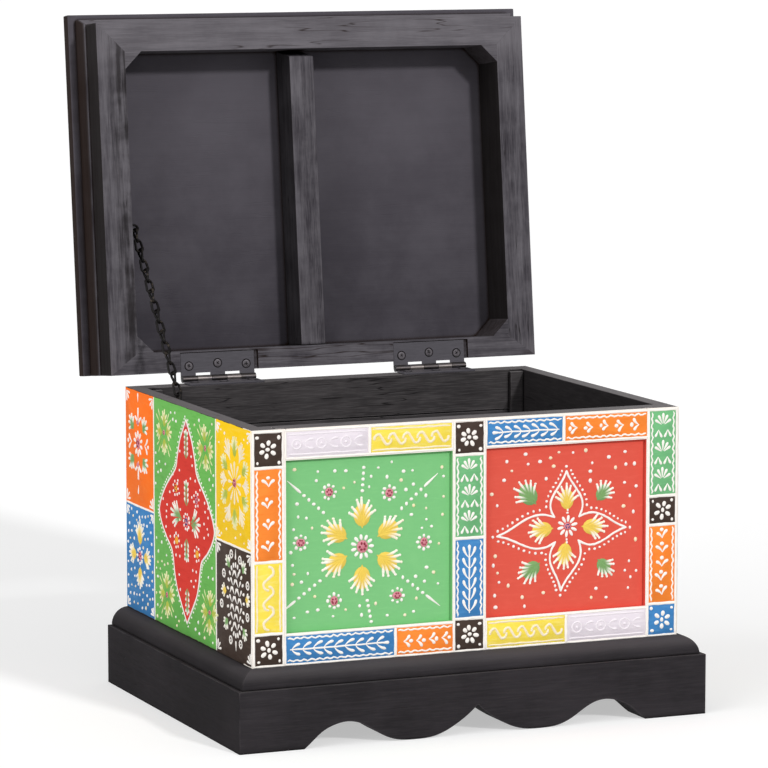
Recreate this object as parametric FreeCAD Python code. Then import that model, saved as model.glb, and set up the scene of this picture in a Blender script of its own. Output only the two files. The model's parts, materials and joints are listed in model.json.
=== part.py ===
import FreeCAD, Part
import math
import os

# Wooden storage box on a scalloped plinth, with a hinged moulded lid held open by a chain.
# Millimetres and degrees. X runs to the right, Y to the back, Z up. The origin is on the floor,
# in the middle of the width and of the depth over all, with the lid open as it rests.
# The lid is drawn closed and level, then opened.

V = FreeCAD.Vector

# Carcass
box_width = 354.0
box_depth = 282.0
wall_height = 193.0
wall_thickness = 18.5
side_thickness = 12.0
back_upper_height = 32.5
back_seam = 1.0
post_width = 12.0
post_depth = 4.0
post_drop = 1.5

# Framed front
stile_width = 27.5
centre_stile_width = 28.0
top_rail_height = 24.0
bottom_rail_height = 38.5
panel_thickness = 8.0
panel_setback = 4.0
groove_depth = 7.0

# Floor of the carcass, let into the walls
floor_thickness = 10.0
floor_rise = 8.0

# Plinth and the bead on top of it
plinth_height = 47.0
plinth_overhang = 17.0
plinth_thickness = 30.0
cusp_height = 23.0
bead_height = 14.0
bead_reach = 13.5
glue_block_leg = 26.0
glue_block_height = 40.0

# Lid
rim_side_overhang = 10.5
rim_front_overhang = 4.5
rim_height = 38.0
rim_front_width = 23.5
rim_rear_width = 17.0
rim_side_width = 23.5
rim_rear_inset = 3.0
trim_height = 13.0
trim_reach = 4.5
trim_toe = 1.0
trim_fillet = 2.0
trim_rebate = 2.0
trim_shadow = 1.2
top_thickness = 12.5
top_side_overhang = 11.0
top_front_overhang = 9.0
top_rounding = 3.0
batten_width = 21.0
batten_height = 30.0
batten_bevel = 6.0
batten_offset = -8.5
corner_block_leg = 14.0
open_angle = 96.3

# Butt hinges
hinge_length = 63.5
hinge_left_setback = 49.25
hinge_right_setback = 54.25
leaf_thickness = 1.5
leaf_width = 21.0
barrel_radius = 2.8
pin_radius = 1.3
knuckle_count = 5
knuckle_gap = 0.2
notch_play = 2.0
leaf_recess = 0.5
mortise_left_play = 0.4
mortise_right_play = 3.6
mortise_inner_play = 0.6

# Countersunk screws of the hinges
screw_head_radius = 3.1
screw_radius = 1.5
screw_length = 12.0
screw_inset = 10.5
screw_middle_shift = 1.6

# Chain stay and its two screw eyes
wire = 1.6
link_reach = 11.96
link_half_width = 2.4
link_play = 0.45
stay_from_wall = 11.5
run_links = (3, 5, 11)
run_angles = (44.2, 50.2, 50.2)
eye_radius = 3.2
eye_shank_radius = 0.7
eye_shank_bite = 10.0
lid_eye_from_rear = 115.6
lid_eye_depth = 24.6

# Clearances, and the overrun of cutting tools
joint_play = 0.2
pin_play = 0.06
screw_play = 0.05
overrun = 5.0
quarter_turn = 90.0
full_turn = 360.0

# Half of the apron's lower edge from the foot to the middle cusp, as shares of half the
# plinth's width and of the cusp's height
apron_profile_shares = (
    (0.732, 0.0), (0.693, 0.28), (0.655, 0.54), (0.606, 0.725), (0.554, 0.80), (0.502, 0.72),
    (0.459, 0.535), (0.400, 0.23), (0.345, 0.062), (0.271, 0.012), (0.195, 0.05), (0.140, 0.19),
    (0.0845, 0.44), (0.0505, 0.63), (0.0, 1.0))

# Screws along a hinge leaf, as shares of its length
screw_place_shares = (-0.39, 0.0, 0.39)

# Sizes that follow from those above
half_box = box_width / 2
plinth_width = box_width + 2 * plinth_overhang
half_plinth = plinth_width / 2
plinth_depth = box_depth + plinth_overhang
rim_width = box_width + 2 * rim_side_overhang
rim_depth = box_depth + rim_front_overhang - rim_rear_inset
lean = math.radians(open_angle - quarter_turn)
rim_lift = barrel_radius - leaf_thickness - leaf_recess
lid_reach = barrel_radius + rim_rear_inset + rim_depth + top_front_overhang
lid_rise = rim_lift + rim_height + top_thickness
open_lid_reach = lid_reach * math.sin(lean) + lid_rise * math.cos(lean)
overall_depth = plinth_depth + barrel_radius + open_lid_reach
plinth_front_y = -overall_depth / 2
back_y = plinth_front_y + plinth_depth
front_y = plinth_front_y + plinth_overhang
frame_back_y = front_y + wall_thickness
back_inner_y = back_y - wall_thickness
side_inner_x = half_box - side_thickness
box_top = plinth_height + wall_height
panel_front_y = front_y + panel_setback
panel_back_y = panel_front_y + panel_thickness
groove_back_y = panel_back_y + joint_play
tongue = groove_depth - joint_play
stile_inner_x = half_box - stile_width
half_centre_stile = centre_stile_width / 2
top_rail_z = box_top - top_rail_height
bottom_rail_z = plinth_height + bottom_rail_height
floor_z = plinth_height + floor_rise
axis_y = back_y + barrel_radius
axis_z = box_top + barrel_radius
rim_z = axis_z + rim_lift
rim_top_z = rim_z + rim_height
rim_rear_y = back_y - rim_rear_inset
rim_front_y = rim_rear_y - rim_depth
half_rim = rim_width / 2
hinge_left_x = hinge_left_setback + hinge_length / 2 - half_box
hinge_right_x = half_box - hinge_right_setback - hinge_length / 2
stay_x = stay_from_wall - side_inner_x
link_step = link_reach - wire - link_play
link_overlap = wire + link_play


def block(x0, x1, y0, y1, z0, z1):
    return Part.makeBox(x1 - x0, y1 - y0, z1 - z0, V(x0, y0, z0))


def face(points):
    return Part.Face(Part.makePolygon(points + [points[0]]))


def plan_prism(corners, z0, z1):
    base = face([V(x, y, z0) for x, y in corners])
    return base.extrude(V(0, 0, z1 - z0))


def rod(base, direction, radius, length):
    return Part.makeCylinder(radius, length, base, direction)


def mirrored(shape):
    return shape.mirror(V(0, 0, 0), V(1, 0, 0))


def opened(shape):
    turned = shape.copy()
    turned.rotate(V(0, axis_y, axis_z), V(1, 0, 0), -open_angle)
    return turned


def save(node, *solids):
    shape = solids[0] if len(solids) == 1 else Part.makeCompound(list(solids))
    shape.exportStep("parts/" + node + ".step")


# Grooves: the framed front's panels and tongues share one, the floor has another

floor_groove = block(-side_inner_x - groove_depth, side_inner_x + groove_depth,
                     frame_back_y - groove_depth, back_inner_y + groove_depth,
                     floor_z, floor_z + floor_thickness + joint_play)


def side_groove(x0, x1, z0, z1):
    return block(x0, x1, panel_front_y, groove_back_y, z0, z1)


def front_stile():
    stile = block(-half_box, -stile_inner_x, front_y, frame_back_y, plinth_height, box_top)
    groove = side_groove(-stile_inner_x - groove_depth, -stile_inner_x + overrun,
                         plinth_height - overrun, box_top + overrun)
    return stile.cut(groove).cut(floor_groove)


def front_rail(z0, z1, groove_z0, groove_z1):
    rail = block(-stile_inner_x, stile_inner_x, front_y, frame_back_y, z0, z1)
    rail = rail.fuse(block(-stile_inner_x - tongue, stile_inner_x + tongue,
                           panel_front_y, panel_back_y, z0, z1))
    length = stile_inner_x + tongue + overrun
    return rail.cut(side_groove(-length, length, groove_z0, groove_z1)).cut(floor_groove)


def centre_stile():
    stile = block(-half_centre_stile, half_centre_stile, front_y, frame_back_y,
                  bottom_rail_z, top_rail_z)
    stile = stile.fuse(block(-half_centre_stile, half_centre_stile, panel_front_y, panel_back_y,
                             bottom_rail_z - tongue, top_rail_z + tongue))
    z0 = bottom_rail_z - groove_depth - overrun
    z1 = top_rail_z + groove_depth + overrun
    bottom_of_groove = half_centre_stile - groove_depth
    stile = stile.cut(side_groove(bottom_of_groove, half_centre_stile + overrun, z0, z1))
    return stile.cut(side_groove(-half_centre_stile - overrun, -bottom_of_groove, z0, z1))


left_stile = front_stile()
left_panel = block(-stile_inner_x - tongue, -half_centre_stile + tongue, panel_front_y, panel_back_y,
                   bottom_rail_z - tongue, top_rail_z + tongue)
save("front_left_stile", left_stile)
save("front_right_stile", mirrored(left_stile))
save("front_centre_stile", centre_stile())
save("front_top_rail", front_rail(top_rail_z, box_top, top_rail_z - overrun, top_rail_z + groove_depth))
save("front_bottom_rail", front_rail(plinth_height, bottom_rail_z,
                                     bottom_rail_z - groove_depth, bottom_rail_z + overrun))
save("front_left_panel", left_panel)
save("front_right_panel", mirrored(left_panel))


# Chain stay: straight runs of links that lie by turns across and along the run's own plane.
# The stay is set out backwards from the lid's eye, which is placed on the lid.

def along(angle):
    return V(0, math.cos(math.radians(angle)), math.sin(math.radians(angle)))


def run_length(count, first_upright):
    upright_last = first_upright == (count % 2 == 1)
    start = -link_overlap if first_upright else 0
    return start + (count - 1) * link_step + (link_step if upright_last else link_reach)


def run_starts_upright(index):
    return sum(run_links[:index]) % 2 == 0


def stadium(length, half_width, thickness):
    y1 = length - half_width
    y0 = half_width
    x = -thickness / 2
    near = Part.Arc(V(x, y0, half_width), V(x, 0, 0), V(x, y0, -half_width)).toShape()
    far = Part.Arc(V(x, y1, -half_width), V(x, length, 0), V(x, y1, half_width)).toShape()
    low = Part.makeLine(V(x, y0, -half_width), V(x, y1, -half_width))
    high = Part.makeLine(V(x, y1, half_width), V(x, y0, half_width))
    return Part.Face(Part.Wire([near, low, far, high])).extrude(V(thickness, 0, 0))


def link(upright):
    outer = stadium(link_reach + wire, link_half_width + wire / 2, wire)
    inner = stadium(link_reach - wire, link_half_width - wire / 2, wire + 2 * overrun)
    inner.translate(V(0, wire, 0))
    shape = outer.cut(inner)
    shape.translate(V(0, -wire / 2, 0))
    if not upright:
        shape.rotate(V(0, 0, 0), V(0, 1, 0), quarter_turn)
    return shape


def chain_run(index, start):
    links = []
    upright = run_starts_upright(index)
    place = -link_overlap if upright else 0
    for number in range(run_links[index]):
        shape = link(upright)
        shape.translate(V(0, place, 0))
        shape.rotate(V(0, 0, 0), V(1, 0, 0), run_angles[index])
        shape.translate(start)
        links.append(shape)
        upright = not upright
        place = place + link_step
    return links


def screw_eye(pivot, pull, wall_x):
    centre = pivot - pull * eye_radius
    across = pull.cross(V(1, 0, 0))
    base = centre - across * (wire / 2)
    ring = rod(base, across, eye_radius + wire / 2, wire).cut(rod(base, across, eye_radius - wire / 2, wire))
    tip_x = wall_x - eye_shank_bite
    reach = centre.x - eye_radius - tip_x
    return ring.fuse(rod(V(tip_x, centre.y, centre.z), V(1, 0, 0), eye_shank_radius, reach))


def eye_hole(pivot, pull, wall_x):
    centre = pivot - pull * eye_radius
    return rod(V(wall_x - eye_shank_bite, centre.y, centre.z), V(1, 0, 0),
               eye_shank_radius + screw_play, eye_shank_bite + overrun)


lid_eye_closed = V(stay_x, rim_rear_y - lid_eye_from_rear, rim_z + lid_eye_depth)
lid_eye = opened(Part.Vertex(lid_eye_closed)).Point
run_count = len(run_links)
run_lengths = [run_length(run_links[i], run_starts_upright(i)) for i in range(run_count)]
run_spans = [along(run_angles[i]) * run_lengths[i] for i in range(run_count)]
run_begins = [lid_eye - sum(run_spans[i:], V(0, 0, 0)) for i in range(run_count)]
box_eye = run_begins[0]
box_eye_pull = along(run_angles[0])
lid_eye_pull = -along(run_angles[-1])
lid_stile_inner_x = -half_rim + rim_side_width
for i in range(run_count):
    save("stay_chain_run_" + str(i + 1), *chain_run(i, run_begins[i]))
save("box_screw_eye", screw_eye(box_eye, box_eye_pull, -side_inner_x))
save("lid_screw_eye", screw_eye(lid_eye, lid_eye_pull, lid_stile_inner_x))


# Butt hinges: each leaf is a plate with tubes at its own knuckles and notches at the other's

knuckle_pitch = hinge_length / knuckle_count
notch_y = axis_y - barrel_radius - notch_play


def knuckles(first, hinge_x, bore):
    tubes = []
    for number in range(first, knuckle_count, 2):
        x0 = hinge_x - hinge_length / 2 + number * knuckle_pitch
        base = V(x0 + knuckle_gap / 2, axis_y, axis_z)
        length = knuckle_pitch - knuckle_gap
        tube = rod(base, V(1, 0, 0), barrel_radius, length)
        tubes.append((x0, tube, rod(base, V(1, 0, 0), bore, length)))
    return tubes


def hinge_leaf(hinge_x, plate_z, own, other, bore, screws):
    x0 = hinge_x - hinge_length / 2
    leaf = block(x0, x0 + hinge_length, axis_y - leaf_width, axis_y, plate_z, plate_z + leaf_thickness)
    for x, tube, hole in knuckles(other, hinge_x, bore):
        leaf = leaf.cut(block(x - knuckle_gap / 2, x + knuckle_pitch + knuckle_gap / 2,
                              notch_y, axis_y + overrun,
                              plate_z - overrun, plate_z + leaf_thickness + overrun))
    for x, tube, hole in knuckles(own, hinge_x, bore):
        leaf = leaf.fuse(tube).cut(hole)
    for hole in screws:
        leaf = leaf.cut(hole)
    return leaf.removeSplitter()


def screw(head, direction, play):
    shank_radius = screw_radius + play
    neck = direction * leaf_thickness
    tip = direction * (screw_length + play)
    half_section = [V(0, 0, 0), V(screw_head_radius + play, 0, 0), neck + V(shank_radius, 0, 0),
                    tip + V(shank_radius, 0, 0), tip]
    body = face(half_section).revolve(V(0, 0, 0), direction, full_turn)
    body.translate(head)
    return body


def screw_set(hinge_x, head_z, direction, play):
    screws = []
    for share in screw_place_shares:
        shift = screw_middle_shift if share == 0.0 else 0
        place = V(hinge_x + share * hinge_length, axis_y - screw_inset - shift, head_z)
        screws.append(screw(place, direction, play))
    return screws


hinge_xs = {"left": hinge_left_x, "right": hinge_right_x}
down = V(0, 0, -1)
up = V(0, 0, 1)
box_screw_z = box_top + leaf_thickness
lid_leaf_z = rim_z + leaf_recess
box_screws = []
box_screw_holes = []
lid_screws = []
lid_screw_holes = []
pins = []
for name, x in hinge_xs.items():
    box_holes = screw_set(x, box_screw_z, down, screw_play)
    lid_holes = screw_set(x, lid_leaf_z, up, screw_play)
    box_screws = box_screws + screw_set(x, box_screw_z, down, 0)
    lid_screws = lid_screws + screw_set(x, lid_leaf_z, up, 0)
    box_screw_holes = box_screw_holes + box_holes
    lid_screw_holes = lid_screw_holes + lid_holes
    pins.append(rod(V(x - hinge_length / 2, axis_y, axis_z), V(1, 0, 0), pin_radius, hinge_length))
    lid_leaf = hinge_leaf(x, lid_leaf_z, 0, 1, pin_radius + pin_play, lid_holes)
    save("hinge_" + name + "_box_leaf", hinge_leaf(x, box_top, 1, 0, pin_radius, box_holes))
    save("hinge_" + name + "_lid_leaf", opened(lid_leaf))
save("hinge_pins", *pins)
save("box_hinge_screws", *box_screws)
save("lid_hinge_screws", *[opened(s) for s in lid_screws])


# Side and back boards, the posts in the back corners, and the floor

side_board = block(-half_box, -side_inner_x, frame_back_y, back_y, plinth_height, box_top).cut(floor_groove)
back_seam_z = box_top - back_upper_height
back_upper = block(-side_inner_x, side_inner_x, back_inner_y, back_y, back_seam_z, box_top)
back_lower = block(-side_inner_x, side_inner_x, back_inner_y, back_y,
                   plinth_height, back_seam_z - back_seam)
for hole in box_screw_holes:
    back_upper = back_upper.cut(hole)
save("left_side_board", side_board.cut(eye_hole(box_eye, box_eye_pull, -side_inner_x)))
save("right_side_board", mirrored(side_board))
save("back_upper_board", back_upper)
save("back_lower_board", back_lower.cut(floor_groove))
left_post = block(-side_inner_x, -side_inner_x + post_width, back_inner_y - post_depth, back_inner_y,
                  floor_z + floor_thickness, box_top - post_drop)
save("back_corner_posts", left_post, mirrored(left_post))
save("bottom_board", block(-side_inner_x - tongue, side_inner_x + tongue, frame_back_y - tongue,
                           back_inner_y + tongue, floor_z, floor_z + floor_thickness))


# Plinth: the front apron is scalloped in ogee curves that meet in a pointed cusp, and mitred to
# the sides

def apron_edge(side):
    return [V(side * half_plinth * x, plinth_front_y, cusp_height * z) for x, z in apron_profile_shares]


def curve(points):
    spline = Part.BSplineCurve()
    spline.interpolate(points)
    return spline.toShape()


def scalloped_blank():
    left = apron_edge(-1)
    right = apron_edge(1)
    low_left = V(-half_plinth, plinth_front_y, 0)
    low_right = V(half_plinth, plinth_front_y, 0)
    high_left = V(-half_plinth, plinth_front_y, plinth_height)
    high_right = V(half_plinth, plinth_front_y, plinth_height)
    edges = [Part.makeLine(low_left, left[0]), curve(left), curve(right[::-1]),
             Part.makeLine(right[0], low_right), Part.makeLine(low_right, high_right),
             Part.makeLine(high_right, high_left), Part.makeLine(high_left, low_left)]
    return Part.Face(Part.Wire(edges)).extrude(V(0, plinth_thickness, 0))


plinth_inner_x = half_plinth - plinth_thickness
plinth_inner_front_y = plinth_front_y + plinth_thickness
plinth_inner_back_y = back_y - plinth_thickness
apron_plan = [(-half_plinth, plinth_front_y), (half_plinth, plinth_front_y),
              (plinth_inner_x, plinth_inner_front_y), (-plinth_inner_x, plinth_inner_front_y)]
plinth_side_plan = [(-half_plinth, plinth_front_y), (-plinth_inner_x, plinth_inner_front_y),
                    (-plinth_inner_x, back_y), (-half_plinth, back_y)]
plinth_side = plan_prism(plinth_side_plan, 0, plinth_height)
apron_mitres = plan_prism(apron_plan, -overrun, plinth_height + overrun)
save("plinth_front_apron", scalloped_blank().common(apron_mitres))
save("plinth_left_board", plinth_side)
save("plinth_right_board", mirrored(plinth_side))
save("plinth_back_board", block(-plinth_inner_x, plinth_inner_x, plinth_inner_back_y, back_y,
                                0, plinth_height))


def corner_wedge(x, y, x_leg, y_leg, z0, z1):
    return plan_prism([(x, y), (x + x_leg, y), (x, y + y_leg)], z0, z1)


glue_z = plinth_height - glue_block_height
front_wedge = corner_wedge(-plinth_inner_x, plinth_inner_front_y, glue_block_leg, glue_block_leg,
                           glue_z, plinth_height)
back_wedge = corner_wedge(-plinth_inner_x, plinth_inner_back_y, glue_block_leg, -glue_block_leg,
                          glue_z, plinth_height)
save("plinth_glue_blocks", front_wedge, mirrored(front_wedge), back_wedge, mirrored(back_wedge))


# Bead: a quarter round on the plinth's top, mitred at the front corners

def bead_section(origin, outward):
    top = origin + up * bead_height
    toe = origin + outward * bead_reach
    crown = origin + outward * (bead_reach * math.sqrt(0.5)) + up * (bead_height * math.sqrt(0.5))
    round_edge = Part.Arc(top, crown, toe).toShape()
    return Part.Face(Part.Wire([round_edge, Part.makeLine(toe, origin), Part.makeLine(origin, top)]))


bead_out_x = half_box + bead_reach
bead_out_y = front_y - bead_reach
bead_top = plinth_height + bead_height
front_bead = bead_section(V(-bead_out_x, front_y, plinth_height), V(0, -1, 0))
front_bead = front_bead.extrude(V(2 * bead_out_x, 0, 0))
front_bead_plan = [(-half_box, front_y), (half_box, front_y),
                   (bead_out_x, bead_out_y), (-bead_out_x, bead_out_y)]
side_bead = bead_section(V(-half_box, bead_out_y, plinth_height), V(-1, 0, 0))
side_bead = side_bead.extrude(V(0, back_y - bead_out_y, 0))
side_bead_plan = [(-half_box, front_y), (-bead_out_x, bead_out_y),
                  (-bead_out_x, back_y), (-half_box, back_y)]
left_bead = side_bead.common(plan_prism(side_bead_plan, plinth_height, bead_top))
save("bead_front", front_bead.common(plan_prism(front_bead_plan, plinth_height, bead_top)))
save("bead_left", left_bead)
save("bead_right", mirrored(left_bead))


# Lid: a mitred rim with a moulding let into its outer face, under an overhanging top board

rim_inner_x = half_rim - rim_side_width
rim_inner_front_y = rim_front_y + rim_front_width
rim_inner_rear_y = rim_rear_y - rim_rear_width
rebate_z = rim_top_z - trim_height - trim_shadow
rebate_out_z = rim_top_z + overrun
rebate_x = half_rim - trim_rebate
rebate_y = rim_front_y + trim_rebate
trim_rebates = (
    block(-half_rim - overrun, -rebate_x, rim_front_y - overrun, rim_rear_y + overrun,
          rebate_z, rebate_out_z),
    block(rebate_x, half_rim + overrun, rim_front_y - overrun, rim_rear_y + overrun,
          rebate_z, rebate_out_z),
    block(-half_rim - overrun, half_rim + overrun, rim_front_y - overrun, rebate_y,
          rebate_z, rebate_out_z))


def rim_piece(corners):
    piece = plan_prism(corners, rim_z, rim_top_z)
    for rebate in trim_rebates:
        piece = piece.cut(rebate)
    return piece


front_corners = [(-half_rim, rim_front_y), (half_rim, rim_front_y),
                 (rim_inner_x, rim_inner_front_y), (-rim_inner_x, rim_inner_front_y)]
rear_corners = [(-half_rim, rim_rear_y), (-rim_inner_x, rim_inner_rear_y),
                (rim_inner_x, rim_inner_rear_y), (half_rim, rim_rear_y)]
left_corners = [(-half_rim, rim_front_y), (-rim_inner_x, rim_inner_front_y),
                (-rim_inner_x, rim_inner_rear_y), (-half_rim, rim_rear_y)]
rear_rail = rim_piece(rear_corners)
for x in hinge_xs.values():
    rear_rail = rear_rail.cut(block(x - hinge_length / 2 - mortise_left_play,
                                    x + hinge_length / 2 + mortise_right_play,
                                    axis_y - leaf_width - mortise_inner_play, rim_rear_y + overrun,
                                    rim_z - overrun, lid_leaf_z + leaf_thickness))
for hole in lid_screw_holes:
    rear_rail = rear_rail.cut(hole)
left_rim = rim_piece(left_corners)
left_rim_open = opened(left_rim).cut(eye_hole(lid_eye, lid_eye_pull, lid_stile_inner_x))
save("lid_front_rail", opened(rim_piece(front_corners)))
save("lid_rear_rail", opened(rear_rail))
save("lid_left_stile", left_rim_open)
save("lid_right_stile", opened(mirrored(left_rim)))


def trim_section(origin, outward):
    low = origin + outward * trim_toe + up * (rim_top_z - trim_height)
    high = origin + outward * trim_reach + up * (rim_top_z - trim_fillet)
    fall = (trim_height - trim_fillet) * math.sqrt(0.5)
    belly = origin + outward * (trim_toe + (trim_reach - trim_toe) * math.sqrt(0.5))
    belly = belly + up * (rim_top_z - trim_fillet - fall)
    lip = origin + outward * trim_reach + up * rim_top_z
    back_high = origin - outward * trim_rebate + up * rim_top_z
    back_low = origin - outward * trim_rebate + up * (rim_top_z - trim_height)
    edges = [Part.Arc(low, belly, high).toShape(), Part.makeLine(high, lip), Part.makeLine(lip, back_high),
             Part.makeLine(back_high, back_low), Part.makeLine(back_low, low)]
    return Part.Face(Part.Wire(edges))


trim_out_x = half_rim + trim_reach
trim_out_y = rim_front_y - trim_reach
front_trim = trim_section(V(-trim_out_x, rim_front_y, 0), V(0, -1, 0))
front_trim = front_trim.extrude(V(2 * trim_out_x, 0, 0))
front_trim_plan = [(-rebate_x, rebate_y), (rebate_x, rebate_y),
                   (trim_out_x, trim_out_y), (-trim_out_x, trim_out_y)]
side_trim = trim_section(V(-half_rim, trim_out_y, 0), V(-1, 0, 0))
side_trim = side_trim.extrude(V(0, rim_rear_y - trim_out_y, 0))
side_trim_plan = [(-rebate_x, rebate_y), (-trim_out_x, trim_out_y),
                  (-trim_out_x, rim_rear_y), (-rebate_x, rim_rear_y)]
left_trim = side_trim.common(plan_prism(side_trim_plan, rim_z, rim_top_z))
save("lid_front_moulding", opened(front_trim.common(plan_prism(front_trim_plan, rim_z, rim_top_z))))
save("lid_left_moulding", opened(left_trim))
save("lid_right_moulding", opened(mirrored(left_trim)))

top_half_width = half_rim + top_side_overhang
top_z = rim_top_z + top_thickness
top_board = block(-top_half_width, top_half_width, rim_front_y - top_front_overhang, rim_rear_y,
                  rim_top_z, top_z)
top_edges = [e for e in top_board.Edges if all(v.Z == top_z for v in e.Vertexes)]
save("lid_top_board", opened(top_board.makeFillet(top_rounding, top_edges)))
batten_x = batten_offset - batten_width / 2
batten_z = rim_top_z - batten_height
batten_side = [(rim_inner_front_y, rim_top_z), (rim_inner_front_y + batten_bevel, batten_z),
               (rim_inner_rear_y, batten_z), (rim_inner_rear_y, rim_top_z)]
batten = face([V(batten_x, y, z) for y, z in batten_side]).extrude(V(batten_width, 0, 0))
save("lid_batten", opened(batten))
front_block = corner_wedge(-rim_inner_x, rim_inner_front_y, corner_block_leg, corner_block_leg,
                           rim_z, rim_top_z)
rear_block = corner_wedge(-rim_inner_x, rim_inner_rear_y, corner_block_leg, -corner_block_leg,
                          rim_z, rim_top_z)
corner_blocks = (front_block, mirrored(front_block), rear_block, mirrored(rear_block))
save("lid_corner_blocks", *[opened(s) for s in corner_blocks])
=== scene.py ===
import json
import math
import random
from functools import partial

import bmesh
import bpy
from mathutils import Matrix, Vector


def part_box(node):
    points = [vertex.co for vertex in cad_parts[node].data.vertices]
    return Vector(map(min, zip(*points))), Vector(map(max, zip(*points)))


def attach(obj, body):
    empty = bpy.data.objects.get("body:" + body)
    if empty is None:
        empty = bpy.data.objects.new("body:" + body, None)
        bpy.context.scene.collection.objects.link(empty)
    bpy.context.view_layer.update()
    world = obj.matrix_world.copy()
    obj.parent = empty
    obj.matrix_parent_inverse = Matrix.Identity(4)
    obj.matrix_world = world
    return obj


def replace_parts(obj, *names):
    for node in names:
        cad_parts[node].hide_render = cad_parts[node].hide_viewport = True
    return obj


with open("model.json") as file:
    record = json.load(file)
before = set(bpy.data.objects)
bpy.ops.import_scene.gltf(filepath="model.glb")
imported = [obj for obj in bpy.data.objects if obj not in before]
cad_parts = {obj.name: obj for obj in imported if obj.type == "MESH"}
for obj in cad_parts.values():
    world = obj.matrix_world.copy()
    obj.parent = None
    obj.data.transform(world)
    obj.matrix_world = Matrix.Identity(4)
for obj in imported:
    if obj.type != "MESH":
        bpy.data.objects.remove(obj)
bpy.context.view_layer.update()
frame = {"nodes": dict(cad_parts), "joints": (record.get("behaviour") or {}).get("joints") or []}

# Hand-painted storage box: colour tiles with raised cone-paint ornament on a black wooden box with
# an open lid. Painted faces are laid out in millimetres, u along the face and v up from the floor.
# Everything else is in metres.

mm = 0.001
up = Vector((0.0, 0.0, 1.0))
# Angles on a painted face
east = 0.0
north = math.pi / 2
west = math.pi
# The painter's hand, which strays a little
hand = random.Random(1947)


def waver(amount):
    """What a hand strays by, up to an amount either way."""
    return hand.uniform(-amount, amount)


def polar(u, v, angle, reach):
    """The point at an angle and a distance from another."""
    return u + reach * math.cos(angle), v + reach * math.sin(angle)


def span(node, axis):
    """Lowest and highest place of a node along one axis, in millimetres."""
    low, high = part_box(node)
    return low[axis] / mm, high[axis] / mm


# Places on the box, read from the model
box_left, left_in = span("front_left_stile", 0)
right_in, box_right = span("front_right_stile", 0)
centre_left, centre_right = span("front_centre_stile", 0)
rail_low, box_top = span("front_top_rail", 2)
rail_high = span("front_bottom_rail", 2)[1]
bead_top = span("bead_front", 2)[1]
front_y = span("front_left_stile", 1)[0]
panel_y = span("front_left_panel", 1)[0]
back_y = span("left_side_board", 1)[1]
joints = {joint["name"]: joint for joint in frame["joints"]}
hinge_line = Vector(joints["lid_hinge"]["pos_m"])
# The lid's opening angle at rest, and how far it leans back
lid_angle = math.radians(96.3)
lid_lean = lid_angle - math.pi / 2

# Paint film and raised ornament, in millimetres
film = 0.16
film_bevel = 0.14
relief_seat = 0.1
overlay_lift = 0.5
stroke_top = 0.75
line_width = 1.7
fine_line = 1.4
border_step = 5.0
border_waver = 0.2
tile_edge_step = 4.5
tile_waver = 0.22
# Border lines run line_room outside a tile, and lines inside it stop edge_room short of its ends
line_room = 0.9
edge_room = 1.0
# How high a stroke rises, how much a line swells and how thin it ends, in shares of its half width
stroke_rise = 0.62
line_swell = 0.14
line_end = 0.6

# Cross-section of a raised stroke above its face: across, rise
stroke_section = ((-1.0, 0.0), (-0.68, 0.72), (0.0, 1.0), (0.68, 0.72), (1.0, 0.0))
# Width of a teardrop and of a short fat petal along their length: place, width
drop_profile = ((0.0, 0.2), (0.3, 0.5), (0.6, 0.82), (0.8, 1.0), (0.93, 0.8), (1.0, 0.36))
petal_profile = ((0.0, 0.4), (0.22, 0.82), (0.55, 1.0), (0.82, 0.85), (1.0, 0.4))
# Dome of a dot: radius, rise
dot_profile = ((1.0, 0.0), (0.74, 0.68), (0.36, 0.95))
dot_sides = 9
dot_squash = 0.15
# One wave of a scroll: place along it and across it, in shares of its length and height
scroll_hook = ((-0.6, -0.1), (-0.52, 0.7), (-0.24, 1.0), (0.0, 0.0), (0.24, -1.0), (0.52, -0.7), (0.6, 0.1))
# Wash under a leaf: corners, then its middle, half length and half width in shares of the leaf's length
wash_sides = 14
wash_middle = 0.4
wash_half_long = 0.35
wash_half_wide = 0.39
# Sprinkled dots: room kept round each, and tries made for each
scatter_room = 5.0
scatter_tries = 40
smooth_angle = math.radians(50.0)


# Shader helpers. Noise scales and stretches are in cells per metre.

def seen(red, green, blue):
    """A colour as it looks on screen, 0 to 255, in the linear values that shaders take."""
    linear = []
    for value in (red, green, blue):
        share = value / 255
        linear.append(share / 12.92 if share <= 0.04045 else ((share + 0.055) / 1.055) ** 2.4)
    return (*linear, 1.0)


def grey(level):
    return level, level, level, 1.0


def fill(tree, node, sockets):
    """Gives a node's inputs, by name, a value or the output to join to them."""
    for name, value in sockets.items():
        if isinstance(value, bpy.types.NodeSocket):
            tree.links.new(value, node.inputs[name])
        else:
            node.inputs[name].default_value = value


def add(tree, kind, sockets=None, **settings):
    """Adds one shader node with its inputs filled, and returns its outputs."""
    node = tree.nodes.new("ShaderNode" + kind)
    for name, value in settings.items():
        setattr(node, name, value)
    fill(tree, node, sockets or {})
    return node.outputs


def maths(tree, operation, first, second=0.0):
    return add(tree, "Math", {0: first, 1: second}, operation=operation)[0]


def times(tree, first, second):
    return maths(tree, "MULTIPLY", first, second)


def between(tree, value, low, high):
    """Rises from 0 to 1 as the value goes from low to high."""
    return add(tree, "MapRange", {"Value": value, "From Min": low, "From Max": high},
               interpolation_type="SMOOTHSTEP")["Result"]


def ranged(tree, value, least, most):
    """Goes from least to most as the value goes from 0 to 1."""
    return add(tree, "MapRange", {"Value": value, "To Min": least, "To Max": most})["Result"]


def mixed(tree, share, first, second):
    """A mix of two colours."""
    return add(tree, "Mix", {0: share, 6: first, 7: second}, data_type="RGBA")[2]


def weighed(tree, share, first, second):
    """A mix of two values."""
    return add(tree, "Mix", {0: share, 2: first, 3: second})[0]


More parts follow.
